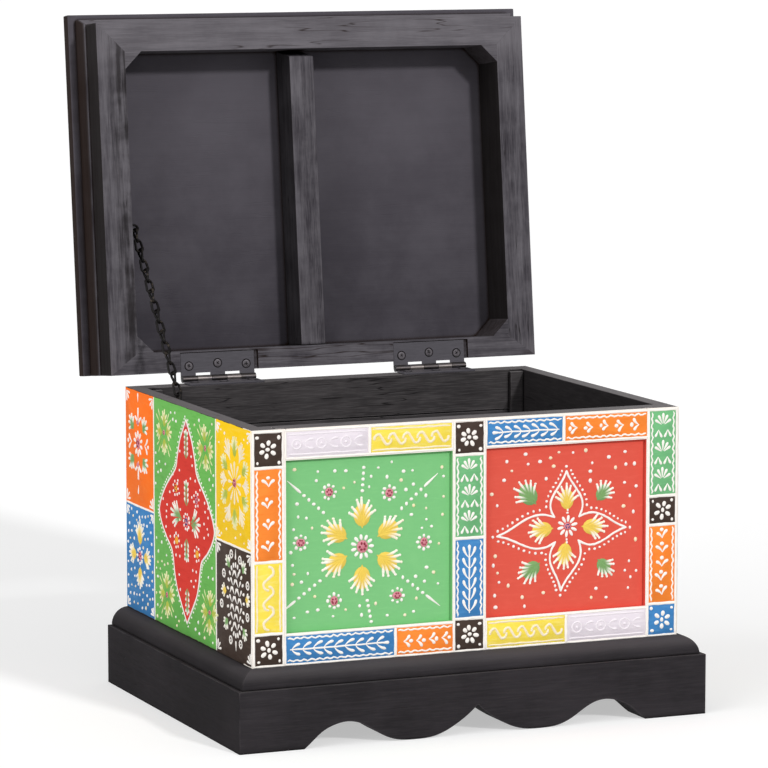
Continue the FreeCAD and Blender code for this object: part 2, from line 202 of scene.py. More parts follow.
def noise(tree, vector, scale, detail, roughness):
    return add(tree, "TexNoise", {"Vector": vector, "Scale": scale, "Detail": detail,
                                  "Roughness": roughness})[0]


def stretched(tree, vector, stretch):
    return add(tree, "VectorMath", {0: vector, 1: stretch}, operation="MULTIPLY")[0]


def own_place(tree):
    return add(tree, "TexCoord")["Object"]


def axes(tree, coordinate):
    """X, Y and Z of a point's place, called Object, or of the way it faces, called Normal."""
    return add(tree, "SeparateXYZ", {0: add(tree, "TexCoord")[coordinate]})


def new_group(name, inputs, outputs):
    """Starts a node group; returns its tree, its inputs by name and its output node."""
    tree = bpy.data.node_groups.new(name, "ShaderNodeTree")
    for label, value in inputs.items():
        kind = "Float" if isinstance(value, float) else {3: "Vector", 4: "Color"}[len(value)]
        socket = tree.interface.new_socket(label, in_out="INPUT", socket_type="NodeSocket" + kind)
        socket.default_value = value
    for label in outputs:
        kind = "Color" if label == "Colour" else "Float"
        tree.interface.new_socket(label, in_out="OUTPUT", socket_type="NodeSocket" + kind)
    return tree, tree.nodes.new("NodeGroupInput").outputs, tree.nodes.new("NodeGroupOutput")


def place_group(tree, group, sockets):
    return add(tree, "Group", sockets, node_tree=group)


even = (1.0, 1.0, 1.0)
coat_outputs = ("Colour", "Roughness", "Height")


def brushed_paint_group():
    """Opaque craft paint laid by hand: streaks and blotches of a second tone, and brush ridges."""
    tree, given, out = new_group(
        "brushed paint",
        {"Colour": grey(0.8), "Second Tone": grey(0.6), "Stretch": even, "Streaks": 0.5},
        coat_outputs)
    place = own_place(tree)
    streak = noise(tree, stretched(tree, place, given["Stretch"]), scale=1.0, detail=4.0, roughness=0.62)
    blotch = noise(tree, place, scale=48.0, detail=4.0, roughness=0.6)
    speck = noise(tree, place, scale=900.0, detail=2.0, roughness=0.5)
    tone = times(tree, between(tree, streak, 0.46, 0.72), given["Streaks"])
    cloud = times(tree, between(tree, blotch, 0.5, 0.8), 0.45)
    share = maths(tree, "MAXIMUM", tone, cloud)
    fill(tree, out, {
        "Colour": mixed(tree, share, given["Colour"], given["Second Tone"]),
        "Roughness": ranged(tree, speck, 0.42, 0.66),
        "Height": maths(tree, "ADD", streak, times(tree, speck, 0.35))})
    return tree


def wood_grain_group():
    """Long grain: soft bands, fine fibres, and thin cracks that open here and there."""
    tree, given, out = new_group("wood grain", {"Stretch": even, "Lean": 0.0},
                                 ("Grain", "Fibres", "Cracks", "Height"))
    turned = add(tree, "VectorRotate", {"Vector": own_place(tree), "Angle": given["Lean"]},
                 rotation_type="X_AXIS")[0]
    run = stretched(tree, turned, given["Stretch"])
    grain = noise(tree, run, scale=1.0, detail=4.0, roughness=0.6)
    fibres = noise(tree, run, scale=4.5, detail=3.0, roughness=0.6)
    split = noise(tree, run, scale=0.5, detail=2.0, roughness=0.5)
    thin = between(tree, maths(tree, "ABSOLUTE", maths(tree, "SUBTRACT", split, 0.5)), 0.013, 0.0)
    coarse = noise(tree, turned, scale=18.0, detail=2.0, roughness=0.5)
    open_part = between(tree, coarse, 0.48, 0.58)
    cracks = times(tree, thin, open_part)
    body = maths(tree, "ADD", grain, times(tree, fibres, 0.6))
    fill(tree, out, {
        "Grain": between(tree, grain, 0.38, 0.64),
        "Fibres": between(tree, fibres, 0.4, 0.72),
        "Cracks": cracks,
        "Height": maths(tree, "SUBTRACT", body, cracks)})
    return tree


def edge_wear_group():
    """Rubbed edges: 1 along sharp edges, broken up by a coarse noise."""
    tree, given, out = new_group("edge wear", {"Reach": 1.0 * mm, "Patches": 60.0}, ("Mask",))
    rounded = add(tree, "Bevel", {"Radius": given["Reach"]}, samples=4)[0]
    flat = add(tree, "NewGeometry")["Normal"]
    meet = add(tree, "VectorMath", {0: rounded, 1: flat}, operation="DOT_PRODUCT")["Value"]
    edge = between(tree, maths(tree, "SUBTRACT", 1.0, meet), 0.01, 0.16)
    coarse = noise(tree, own_place(tree), scale=given["Patches"], detail=4.0, roughness=0.5)
    patches = between(tree, coarse, 0.35, 0.62)
    fill(tree, out, {"Mask": times(tree, edge, patches)})
    return tree


brushed_paint = brushed_paint_group()
wood_grain = wood_grain_group()
edge_wear = edge_wear_group()


def black_coat_group():
    """Thin black paint over wood. Grain and cracks show through it and edges are rubbed; hollows are
    painted darker as painted shade. Faces that look up are painted lighter as painted light from
    above, faces that look sideways are painted near-black as painted shade, a darker band lies
    between two places along x, and what lies above a height is painted lighter as painted light."""
    tree, given, out = new_group(
        "black coat",
        {"Dark": grey(0.03), "Light": grey(0.08), "Rubbed": grey(0.2), "Shade And Crack Black": grey(0.01),
         "Stretch": even, "Lean": 0.0, "Grain": 0.6, "Patches": 14.0, "Fibres": 0.3, "Cracks": 0.85,
         "Dark Band": 0.5, "Dark Band From": 1.0, "Dark Band To": 2.0, "Light On Up Faces": 0.0, "Edge Wear": 0.5,
         "Side Shade": 0.75, "Top Light From": 1.0, "Top Light To": 2.0},
        coat_outputs)
    wood = place_group(tree, wood_grain, {"Stretch": given["Stretch"], "Lean": given["Lean"]})
    rubbed = place_group(tree, edge_wear, {"Reach": 1.4 * mm, "Patches": 55.0})["Mask"]
    place = axes(tree, "Object")
    facing = axes(tree, "Normal")
    coarse = noise(tree, own_place(tree), scale=given["Patches"], detail=5.0, roughness=0.62)
    cloud = between(tree, coarse, 0.32, 0.7)
    tone = weighed(tree, given["Grain"], cloud, wood["Grain"])
    # What lies above a height is painted lighter: painted light towards the top of the open lid.
    light_near_top = between(tree, place["Z"], given["Top Light From"], given["Top Light To"])
    # A darker band between two places along x, strongest where the tone is dark.
    dark_band = between(tree, place["X"], given["Dark Band From"], given["Dark Band To"])
    dark_band = times(tree, dark_band, between(tree, tone, 1.0, 0.1))
    # Faces that look sideways are painted near-black: painted shade.
    sideways = between(tree, maths(tree, "ABSOLUTE", facing["X"]), 0.5, 0.85)
    # Faces that look up are painted lighter: painted light from above.
    light_on_up_faces = between(tree, facing["Z"], 0.25, 0.9)
    # Hollows, corners and joints are painted darker: painted shade.
    painted_hollow_shade = add(tree, "AmbientOcclusion", {"Distance": 4.0 * mm}, samples=6)["AO"]
    colour = mixed(tree, tone, given["Dark"], given["Light"])
    for share, tint in ((times(tree, wood["Fibres"], given["Fibres"]), "Rubbed"),
                        (times(tree, light_near_top, 0.4), "Rubbed"),
                        (times(tree, dark_band, given["Dark Band"]), "Shade And Crack Black"),
                        (times(tree, sideways, given["Side Shade"]), "Shade And Crack Black"),
                        (times(tree, light_on_up_faces, given["Light On Up Faces"]), "Rubbed"),
                        (times(tree, rubbed, given["Edge Wear"]), "Rubbed"),
                        (between(tree, painted_hollow_shade, 0.85, 0.5), "Shade And Crack Black"),
                        (times(tree, wood["Cracks"], given["Cracks"]), "Shade And Crack Black")):
        colour = mixed(tree, share, colour, given[tint])
    fill(tree, out, {"Colour": colour, "Roughness": ranged(tree, wood["Fibres"], 0.5, 0.7),
                     "Height": wood["Height"]})
    return tree


black_coat = black_coat_group()


# Finishes

paint_gloss = 0.02
black_gloss = 0.008
hinge_gloss = 0.25
wire_gloss = 0.1
bare_wood_gloss = 0.25

# How brush streaks and wood grain run
brush_streaks = (70.0, 70.0, 420.0)
cone_streaks = (300.0, 300.0, 300.0)
along_x = (14.0, 260.0, 260.0)
along_y = (260.0, 14.0, 260.0)
along_z = (260.0, 260.0, 14.0)
hinge_scratches = (90.0, 900.0, 900.0)

panel_green = seen(125, 194, 128)
panel_red = seen(220, 89, 74)
# Near-black tones for painted shade on sideways faces and in hollows, also used for cracks and dark bands.
shade_and_crack_black = seen(27, 25, 26)
lid_shade_and_crack_brown = seen(37, 28, 24)
stile_shade_and_crack_black = seen(28, 25, 24)

# Black paint in three shades each: dark, light and rubbed. The rubbed shade is also laid on as painted light,
# on faces that look up and towards the top of the lid.
inside_tones = (seen(48, 46, 47), seen(68, 65, 66), seen(118, 114, 115))
plinth_tones = (seen(39, 37, 39), seen(52, 49, 52), seen(92, 88, 90))
rim_tones = (seen(54, 51, 56), seen(97, 94, 99), seen(122, 118, 123))
board_tones = (seen(60, 57, 63), seen(77, 74, 80), seen(102, 98, 105))

# Slack in telling the painted faces by their place, in millimetres
paint_margin = 1.0
# The hinge's knuckles lie within this distance of its pin
barrel_reach = 3.1 * mm


def new_finish(name, gloss):
    """A Principled material with its gloss set; returns it with its tree and its shader."""
    finish = bpy.data.materials.new(name)
    finish.use_nodes = True
    shader = finish.node_tree.nodes["Principled BSDF"]
    shader.inputs["Specular IOR Level"].default_value = gloss
    return finish, finish.node_tree, shader


def lay(tree, shader, coat, strength, depth):
    """Feeds a coat's colour, roughness and bump height to the shader."""
    normal = add(tree, "Bump", {"Height": coat["Height"], "Strength": strength, "Distance": depth})[0]
    fill(tree, shader, {"Base Color": coat["Colour"], "Roughness": coat["Roughness"], "Normal": normal})


def craft_paint(name, colour, second, stretch, streaks):
    """Satin craft paint of one colour."""
    finish, tree, shader = new_finish(name, paint_gloss)
    coat = place_group(tree, brushed_paint, {"Colour": colour, "Second Tone": second,
                                             "Stretch": stretch, "Streaks": streaks})
    lay(tree, shader, coat, strength=0.25, depth=0.2 * mm)
    return finish


def tipped_paint(name, foot, tip):
    """Cone paint of two colours on one brush: strokes start in one and end in the other."""
    finish, tree, shader = new_finish(name, paint_gloss)
    along = add(tree, "Attribute", attribute_name="tip")["Fac"]
    blend = mixed(tree, between(tree, along, 0.4, 0.85), foot, tip)
    coat = place_group(tree, brushed_paint, {"Colour": blend, "Second Tone": foot,
                                             "Stretch": cone_streaks, "Streaks": 0.25})
    lay(tree, shader, coat, strength=0.2, depth=0.2 * mm)
    return finish


def place_black_coat(tree, stretch, tones, wear):
    """Places the black coat group; wear gives its other inputs by name, painted light and shade among them.
    """
    dark, light, rubbed = tones
    return place_group(tree, black_coat, {"Dark": dark, "Light": light, "Rubbed": rubbed,
                                          "Shade And Crack Black": shade_and_crack_black, "Stretch": stretch, **wear})


def black_wood(name, stretch, tones, wear):
    """Wood under thin black paint."""
    finish, tree, shader = new_finish(name, black_gloss)
    lay(tree, shader, place_black_coat(tree, stretch, tones, wear), strength=0.3, depth=0.4 * mm)
    return finish


def painted_outside(name, ground, second, stretch, reveals=False):
    """Carcass board: painted on its outer faces, black inside; reveals also paints the panel openings."""
    finish, tree, shader = new_finish(name, paint_gloss)
    black = place_black_coat(tree, stretch, inside_tones, {"Light On Up Faces": 0.8})
    coat = place_group(tree, brushed_paint, {"Colour": ground, "Second Tone": second,
                                             "Stretch": brush_streaks, "Streaks": 0.4})
    place = axes(tree, "Object")
    facing = axes(tree, "Normal")
    off_middle = maths(tree, "ABSOLUTE", place["X"])
    front = maths(tree, "LESS_THAN", facing["Y"], -0.5)
    sideways = maths(tree, "GREATER_THAN", maths(tree, "ABSOLUTE", facing["X"]), 0.5)
    outermost = maths(tree, "GREATER_THAN", off_middle, (box_right - paint_margin) * mm)
    outer = maths(tree, "MAXIMUM", front, times(tree, sideways, outermost))
    colour = mixed(tree, outer, black["Colour"], coat["Colour"])
    if reveals:
        ahead = maths(tree, "LESS_THAN", place["Y"], panel_y * mm)
        inward = maths(tree, "LESS_THAN", off_middle, (right_in + paint_margin) * mm)
        below_top = maths(tree, "LESS_THAN", place["Z"], (rail_low + paint_margin) * mm)
        reveal = times(tree, times(tree, ahead, inward), below_top)
        reveal = times(tree, reveal, maths(tree, "SUBTRACT", 1.0, front))
        right_half = maths(tree, "GREATER_THAN", place["X"], 0.0)
        colour = mixed(tree, reveal, colour, mixed(tree, right_half, panel_green, panel_red))
    lay(tree, shader, {"Colour": colour,
                       "Roughness": weighed(tree, outer, black["Roughness"], coat["Roughness"]),
                       "Height": weighed(tree, outer, black["Height"], coat["Height"])},
        strength=0.25, depth=0.3 * mm)
    return finish


def worn_hinge(name, knuckle_dark, knuckle_bright):
    """Hinge steel under the box's black paint, bare where the knuckles rub; the knuckle ends are painted
    near-black, as unrubbed paint and as painted shade in the gaps between knuckles.
    """
    finish, tree, shader = new_finish(name, hinge_gloss)
    place = axes(tree, "Object")
    end = between(tree, maths(tree, "ABSOLUTE", axes(tree, "Normal")["X"]), 0.3, 0.6)
    off_y = maths(tree, "SUBTRACT", place["Y"], hinge_line.y)
    off_z = maths(tree, "SUBTRACT", place["Z"], hinge_line.z)
    from_pin = maths(tree, "SQRT", maths(tree, "ADD", times(tree, off_y, off_y),
                                         times(tree, off_z, off_z)))
    barrel = maths(tree, "LESS_THAN", from_pin, barrel_reach)
    run = stretched(tree, own_place(tree), hinge_scratches)
    scratches = noise(tree, run, scale=1.0, detail=4.0, roughness=0.65)
    rubbed = place_group(tree, edge_wear, {"Reach": 0.7 * mm, "Patches": 240.0})["Mask"]
    bare = times(tree, barrel, between(tree, scratches, 0.3, 0.5))
    paint_tone = mixed(tree, scratches, seen(59, 57, 62), seen(83, 80, 87))
    paint_tone = mixed(tree, times(tree, rubbed, 0.3), paint_tone, seen(104, 100, 104))
    steel_tone = mixed(tree, scratches, knuckle_dark, knuckle_bright)
    colour = mixed(tree, bare, paint_tone, steel_tone)
    # Knuckle ends in near-black: unrubbed paint, and painted shade in the gaps between knuckles.
    colour = mixed(tree, times(tree, barrel, end), colour, seen(22, 20, 20))
    fill(tree, shader, {"Metallic": bare})
    lay(tree, shader, {"Colour": colour, "Roughness": ranged(tree, scratches, 0.24, 0.46),
                       "Height": scratches},
        strength=0.2, depth=0.2 * mm)
    return finish


def dark_steel(name, dark, bright, shine, spots):
    """Blackened wire or screw steel with bright worn spots on the parts that stand out."""
    finish, tree, shader = new_finish(name, wire_gloss)
    place = own_place(tree)
    standing_out = add(tree, "Attribute", attribute_name="tip")["Fac"]
    coarse = noise(tree, place, scale=260.0, detail=4.0, roughness=0.65)
    wear = times(tree, between(tree, coarse, *spots), standing_out)
    pits = noise(tree, place, scale=2200.0, detail=2.0, roughness=0.5)
    fill(tree, shader, {"Metallic": times(tree, wear, shine)})
    lay(tree, shader, {"Colour": mixed(tree, wear, dark, bright),
                       "Roughness": ranged(tree, pits, 0.28, 0.55), "Height": pits},
        strength=0.15, depth=0.1 * mm)
    return finish


def sawn_wood(name):
    """Bare sawn wood of the glue blocks."""
    finish, tree, shader = new_finish(name, bare_wood_gloss)
    wood = place_group(tree, wood_grain, {"Stretch": along_z})
    colour = mixed(tree, wood["Grain"], seen(150, 112, 74), seen(196, 158, 112))
    colour = mixed(tree, times(tree, wood["Fibres"], 0.4), colour, seen(128, 92, 58))
    lay(tree, shader, {"Colour": colour, "Roughness": ranged(tree, wood["Fibres"], 0.6, 0.85),
                       "Height": wood["Height"]},
        strength=0.35, depth=0.4 * mm)
    return finish


# Paints: the layer they make, the finish, its colour and second tone, and how streaky it is
tile_paints = (
    ("orange_tiles", "orange paint", (247, 138, 58), (240, 118, 40), 0.5),
    ("yellow_tiles", "yellow paint", (244, 219, 82), (248, 230, 130), 0.7),
    ("green_tiles", "green paint", (112, 180, 124), (132, 196, 140), 0.5),
    ("field_green_tiles", "field green paint", (112, 184, 92), (92, 166, 72), 0.5),
    ("warm_yellow_tiles", "warm yellow paint", (253, 206, 28), (250, 216, 86), 0.5),
    ("deep_orange_tiles", "deep orange paint", (254, 120, 42), (250, 136, 66), 0.5),
    ("blue_tiles", "blue paint", (66, 128, 186), (90, 150, 202), 0.5),
    ("red_tiles", "red paint", (212, 62, 52), (196, 50, 42), 0.5),
    ("black_tiles", "charcoal paint", (68, 56, 50), (84, 72, 66), 0.5),
    ("white_tiles", "lavender white paint", (226, 217, 225), (236, 229, 234), 0.6),
)
cone_paints = (
    ("white_relief", "white cone paint", (248, 243, 237), (236, 229, 224), 0.4),
    ("pale_relief", "pale cone paint", (238, 231, 236), (230, 221, 228), 0.5),
    ("faint_relief", "thin white cone paint", (243, 230, 205), (244, 222, 140), 0.6),
    ("pink_flowers", "pink cone paint", (214, 140, 152), (192, 104, 120), 0.6),
    ("maroon_rings", "maroon cone paint", (140, 52, 66), (170, 80, 92), 0.6),
    ("navy_rings", "navy cone paint", (58, 66, 116), (90, 96, 140), 0.6),
    ("orange_flowers", "orange cone paint", (240, 166, 52), (250, 206, 110), 0.6),
)
# Two-tone paints: the layer they make, the finish, and the colour of a stroke's foot and of its tip
tipped_paints = (
    ("yellow_leaves", "yellow to white cone paint", (236, 204, 92), (250, 246, 234)),
    ("green_leaves", "green to white cone paint", (126, 166, 106), (250, 246, 236)),
    ("lime_leaves", "lime cone paint", (178, 190, 84), (240, 236, 190)),
)

paints = {}
for stretch, rows in ((brush_streaks, tile_paints), (cone_streaks, cone_paints)):
    for layer, name, colour, second, streaks in rows:
        paints[layer] = craft_paint(name, seen(*colour), seen(*second), stretch, streaks)
for layer, name, foot, tip in tipped_paints:
    paints[layer] = tipped_paint(name, seen(*foot), seen(*tip))


# Painted faces

class Face:
    """A face to paint on: u along it, v up from the floor and lift off it, in millimetres."""

    def __init__(self, foot, along, outward):
        self.foot = Vector(foot)
        self.along = Vector(along)
        self.outward = Vector(outward)

    def at(self, u, v, lift):
        return (self.foot + self.along * u + up * v + self.outward * lift) * mm


class Marks:
    """Strokes, dots and slabs of one paint on one face, gathered into one mesh."""

    def __init__(self, face, seat):
        self.face = face
        self.seat = seat
        self.points = []
        self.faces = []
        self.tips = []

    def point(self, u, v, lift, tip):
        self.points.append(self.face.at(u, v, lift))
        self.tips.append(tip)

    def bridge(self, first, second, count):
        """Joins two rings of points with quads."""
        for j in range(count):
            k = (j + 1) % count
            self.faces.append((first + j, first + k, second + k, second + j))

    def stroke(self, path, halves, tips):
        """A raised stroke along a path, with its half width and tip share at each point."""
        count = len(stroke_section)
        start = len(self.points)
        last = len(path) - 1
        for i, (u, v) in enumerate(path):
            u0, v0 = path[max(i - 1, 0)]
            u1, v1 = path[min(i + 1, last)]
            length = math.hypot(u1 - u0, v1 - v0)
            side_u = (v0 - v1) / length * halves[i]
            side_v = (u1 - u0) / length * halves[i]
            crest = min(halves[i] * stroke_rise, stroke_top)
            for across, rise in stroke_section:
                self.point(u + side_u * across, v + side_v * across, self.seat + rise * crest, tips[i])
        for i in range(last):
            self.bridge(start + i * count, start + (i + 1) * count, count)
        self.faces.append(tuple(range(start, start + count)))
        self.faces.append(tuple(range(start + last * count, start + (last + 1) * count)))

    def line(self, path, width):
        """An even line that swells and thins a little, as a hand draws it."""
        halves = [width / 2 * (1 + waver(line_swell)) for place in path]
        halves[0] *= line_end
        halves[-1] *= line_end
        self.stroke(path, halves, [1.0] * len(path))

    def loop(self, path, width):
        """A line that closes on itself."""
        self.line(path + path[:2], width)

    def ring(self, u, v, radius, sides, width):
        """A round loop."""
        self.loop([polar(u, v, 2 * math.pi * i / sides, radius) for i in range(sides)], width)

    def drop(self, foot, head, width, bend=0.0, profile=drop_profile):
        """A teardrop from its foot to a round head; bend bows it sideways."""
        du = head[0] - foot[0]
        dv = head[1] - foot[1]
        path = []
        for place, share in profile:
            bow = bend * math.sin(math.pi * place)
            path.append((foot[0] + du * place - dv * bow, foot[1] + dv * place + du * bow))
        halves = [width / 2 * share for place, share in profile]
        self.stroke(path, halves, [place for place, share in profile])

    def ray(self, u, v, angle, near, far, width, bend=0.0, profile=drop_profile):
        """A teardrop along an angle from a point, between two distances from it."""
        self.drop(polar(u, v, angle, near), polar(u, v, angle, far), width, bend, profile)

    def dot(self, u, v, radius, lift=0.0):
        """A round blob of paint; lift sets it on top of another."""
        start = len(self.points)
        crest = min(radius * stroke_rise, stroke_top)
        stretch = 1 + waver(dot_squash)
        turn = hand.uniform(0.0, math.pi)
        for reach, rise in dot_profile:
            for k in range(dot_sides):
                angle = turn + 2 * math.pi * k / dot_sides
                self.point(u + radius * reach * stretch * math.cos(angle),
                           v + radius * reach / stretch * math.sin(angle),
                           self.seat + lift + rise * crest, 1.0)
        rings = len(dot_profile)
        for i in range(rings - 1):
            self.bridge(start + i * dot_sides, start + (i + 1) * dot_sides, dot_sides)
        top = start + (rings - 1) * dot_sides
        self.faces.append(tuple(range(top, top + dot_sides)))
        self.faces.append(tuple(range(start, start + dot_sides)))

    def slab(self, outline, thickness, tip=1.0):
        """A flat film of paint with a soft edge; the outline runs anticlockwise."""
        start = len(self.points)
        count = len(outline)
        inner = []
        for i, (u, v) in enumerate(outline):
            u0, v0 = outline[i - 1]
            u1, v1 = outline[(i + 1) % count]
            length = math.hypot(u1 - u0, v1 - v0)
            inner.append((u - (v1 - v0) / length * film_bevel, v + (u1 - u0) / length * film_bevel))
        for ring, lift in ((outline, self.seat), (inner, self.seat + thickness)):
            for u, v in ring:
                self.point(u, v, lift, tip)
        self.bridge(start, start + count, count)
        self.faces.append(tuple(range(start + count, start + 2 * count)))
        self.faces.append(tuple(range(start, start + count)))


def build(name, points, faces, finish, body, tips=None):
    """Makes one piece from points and faces, riding on a body."""
    mesh = bpy.data.meshes.new(name)
    mesh.from_pydata(points, [], faces)
    work = bmesh.new()
    work.from_mesh(mesh)
    bmesh.ops.recalc_face_normals(work, faces=work.faces)
    work.to_mesh(mesh)
    work.free()
    for polygon in mesh.polygons:
        polygon.use_smooth = True
    mesh.set_sharp_from_angle(angle=smooth_angle)
    if tips:
        mesh.attributes.new("tip", "FLOAT", "POINT").data.foreach_set("value", tips)
    mesh.materials.append(finish)
    piece = bpy.data.objects.new(name, mesh)
    bpy.context.scene.collection.objects.link(piece)
    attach(piece, body)
    return piece


class Painting:
    """The tiles and the raised ornament on one face of the box."""

    def __init__(self, name, face):
        self.name = name
        self.face = face
        self.layers = {}

    def ink(self, paint):
        """The marks in one paint, started when they are first asked for."""
        if paint not in self.layers:
            seat = 0.0 if paint.endswith("tiles") else relief_seat
            self.layers[paint] = Marks(self.face, seat)
        return self.layers[paint]

    def finish(self):
        for paint, marks in self.layers.items():
            build(self.name + "_" + paint, marks.points, marks.faces, paints[paint],
                  "box", marks.tips)


def straight(start, end, step=3.0, swing=0.12):
    """Points along a straight line that a hand wavers along."""
    count = max(2, round(math.dist(start, end) / step))
    return [(start[0] + (end[0] - start[0]) * i / count + waver(swing),
             start[1] + (end[1] - start[1]) * i / count + waver(swing)) for i in range(count + 1)]


def smooth_path(points, count=4):
    """A smooth line through the given points."""
    path = []
    ends = [points[0]] + list(points) + [points[-1]]
    for p0, p1, p2, p3 in zip(ends, ends[1:], ends[2:], ends[3:]):
        for i in range(count):
            t = i / count
            path.append(tuple(0.5 * (2 * b + (c - a) * t + (2 * a - 5 * b + 4 * c - d) * t * t
                                     + (3 * b - a - 3 * c + d) * t ** 3)
                              for a, b, c, d in zip(p0, p1, p2, p3)))
    path.append(tuple(points[-1]))
    return path


def bezier(p0, p1, p2, p3, count):
    """Points along a cubic curve."""
    points = []
    for i in range(count + 1):
        t = i / count
        weights = ((1 - t) ** 3, 3 * t * (1 - t) ** 2, 3 * t * t * (1 - t), t ** 3)
        points.append(tuple(sum(w * p[k] for w, p in zip(weights, (p0, p1, p2, p3))) for k in range(2)))
    return points


def sides_of(u0, v0, u1, v1):
    """The four sides of a rectangle as pairs of corners, anticlockwise."""
    corners = ((u0, v0), (u1, v0), (u1, v1), (u0, v1))
    return zip(corners, corners[1:] + corners[:1])


def inside(u0, v0, u1, v1, room):
    """A rectangle with room left on all sides."""
    return u0 + room, v0 + room, u1 - room, v1 - room


def tile_outline(u0, v0, u1, v1):
    """A rectangle with hand-wavered edges, anticlockwise."""
    outline = []
    for corner, following in sides_of(u0, v0, u1, v1):
        outline.extend(straight(corner, following, tile_edge_step, tile_waver)[:-1])
    return outline


def border(ink, start, end, width):
    """A line along the edge of a tile."""
    ink.line(straight(start, end, border_step, border_waver), width)


def petal_ring(ink, u, v, turn, near, fars, width):
    """Fat petals round a point, one for each far end."""
    for k, far in enumerate(fars):
        ink.ray(u, v, turn + 2 * math.pi * k / len(fars), near, far, width, profile=petal_profile)


# Ornament, each drawn inside the tile from u0, v0 to u1, v1

def flower_square(art, u0, v0, u1, v1, petals=6):
    """A dot with a ring of fat petals, and a dot in each corner."""
    ink = art.ink("white_relief")
    u = (u0 + u1) / 2 + waver(0.4)
    v = (v0 + v1) / 2 + waver(0.4)
    ink.dot(u, v, radius=1.7)
    turn = north + waver(0.3)
    for k in range(petals):
        angle = turn + 2 * math.pi * k / petals + waver(0.1)
        ink.ray(u, v, angle, near=3.0, far=7.3 + waver(0.4), width=3.4, profile=petal_profile)
    room_u = 2.7
    room_v = 2.9
    for corner_u in (u0 + room_u, u1 - room_u):
        for corner_v in (v0 + room_v, v1 - room_v):
            ink.dot(corner_u + waver(0.5), corner_v + waver(0.5), radius=1.35 + waver(0.3))


def wavy_sides(art, u0, v0, u1, v1, inset=1.9, swing=0.55):
    """White wavy lines along the two long edges of a tile."""
    ink = art.ink("white_relief")
    tall = v1 - v0 > u1 - u0
    start, end = (v0, v1) if tall else (u0, u1)
    point_step = 1.6
    turn_step = 1.7
    length = end - start - 2 * edge_room
    count = round(length / point_step)
    for rail in (u0 + inset, u1 - inset) if tall else (v0 + inset, v1 - inset):
        path = []
        for i in range(count + 1):
            place = start + edge_room + length * i / count
            side = rail + swing * math.sin(i * turn_step) + waver(0.25)
            path.append((side, place) if tall else (place, side))
        ink.line(path, fine_line)


def vee(ink, u, v, angle, size, opening=0.78):
    """Two teardrops that open from one foot, with a dot between them."""
    for side in (-1, 1):
        way = angle + side * (opening + waver(0.12))
        ink.drop((u, v), polar(u, v, way, size * (1 + waver(0.1))), width=2.7, bend=side * -0.12)
    ink.dot(*polar(u, v, angle, size * 0.95), radius=1.65 + waver(0.2))


def vee_row(art, u0, v0, u1, v1, count, angle):
    """A row of vees that open towards the angle."""
    wavy_sides(art, u0, v0, u1, v1)
    ink = art.ink("white_relief")
    tall = v1 - v0 > u1 - u0
    end_room = 2.0
    length = (v1 - v0 if tall else u1 - u0) - 2 * end_room
    # Where the foot of a vee lies in its share of the row
    foot = 0.62 if angle == west else 0.32
    for i in range(count):
        place = end_room + length * (i + foot) / count
        if tall:
            vee(ink, (u0 + u1) / 2 + waver(0.6), v0 + place, angle + waver(0.12), size=7.2)
        else:
            vee(ink, u0 + place, (v0 + v1) / 2 + waver(0.5), angle + waver(0.12), size=6.6)


def branch(art, u0, v0, u1, v1, angle, pairs, leaf, lean=0.55):
    """A stem that grows towards the angle, with leaves on both sides."""
    wavy_sides(art, u0, v0, u1, v1)
    ink = art.ink("white_relief")
    u = (u0 + u1) / 2
    v = (v0 + v1) / 2
    end_room = 3.0
    bud = 7.0
    reach = max(u1 - u0, v1 - v0) / 2 - end_room
    foot = polar(u, v, angle + math.pi, reach)
    head = polar(u, v, angle, reach - 1.0)
    ink.line(straight(foot, head, step=6.0, swing=0.25), fine_line)
    ink.drop(polar(*head, angle + math.pi, bud), head, width=2.8)
    for k in range(pairs):
        joint = polar(*foot, angle, 2 * reach * (k + 0.1) / (pairs + 0.5))
        for side in (-1, 1):
            way = angle + side * (lean + waver(0.08))
            ink.ray(*joint, way, near=0.6, far=leaf * (1 + waver(0.1)), width=2.5, bend=side * 0.1)


def lotus(ink, u, v, size, petals=5, spread=0.5):
    """Petals in an upright fan."""
    for k in range(petals):
        share = k - (petals - 1) / 2
        angle = north + share * spread + waver(0.05)
        reach = size * (1.0 - 0.08 * abs(share))
        ink.ray(u, v, angle, near=size * 0.15, far=reach, width=2.4)


def arches(ink, u, v, size):
    """Two pointed arches side by side."""
    for side in (-1, 1):
        top = (u + side * size * 0.62, v + size * 0.9)
        for foot in (-1, 1):
            ink.drop(top, (top[0] + foot * size * 0.45, v + waver(0.3)), width=2.2)


def lotus_column(art, u0, v0, u1, v1, count):
    """Fans and pairs of arches by turns, up a tile."""
    wavy_sides(art, u0, v0, u1, v1)
    ink = art.ink("white_relief")
    u = (u0 + u1) / 2
    step = (v1 - v0 - 2 * edge_room) / (2 * count)
    for k in range(count):
        foot = v0 + edge_room + 2 * k * step
        arches(ink, u + waver(0.4), foot + 1.5, size=6.4)
        lotus(ink, u + waver(0.4), foot + step + 0.2, size=min(9.6, step * 0.92))


def scroll(art, u0, v0, u1, v1, waves):
    """A running wave whose crests curl over, in thin paint."""
    ink = art.ink("faint_relief")
    tall = v1 - v0 > u1 - u0
    start, end, middle = (v0, v1, (u0 + u1) / 2) if tall else (u0, u1, (v0 + v1) / 2)
    end_room = 3.5
    height = 3.9
    edge_points = 14
    step = (end - start - 2 * end_room) / waves

    def turned(place, side):
        return (middle - side, place) if tall else (place, middle + side)

    hook = smooth_path([(step * along, height * across) for along, across in scroll_hook], count=3)
    for k in range(waves):
        centre = start + end_room + step * (k + 0.5)
        crest = [turned(centre + along, across + waver(0.15)) for along, across in hook]
        ink.line(crest, width=2.1)
    wide = min(u1 - u0, v1 - v0) / 2 - 1.7
    for rail in (-wide, wide):
        edge = []
        for i in range(edge_points + 1):
            place = start + edge_room + (end - start - 2 * edge_room) * i / edge_points
            edge.append(turned(place, rail + waver(0.3)))
        ink.line(edge, width=1.5)


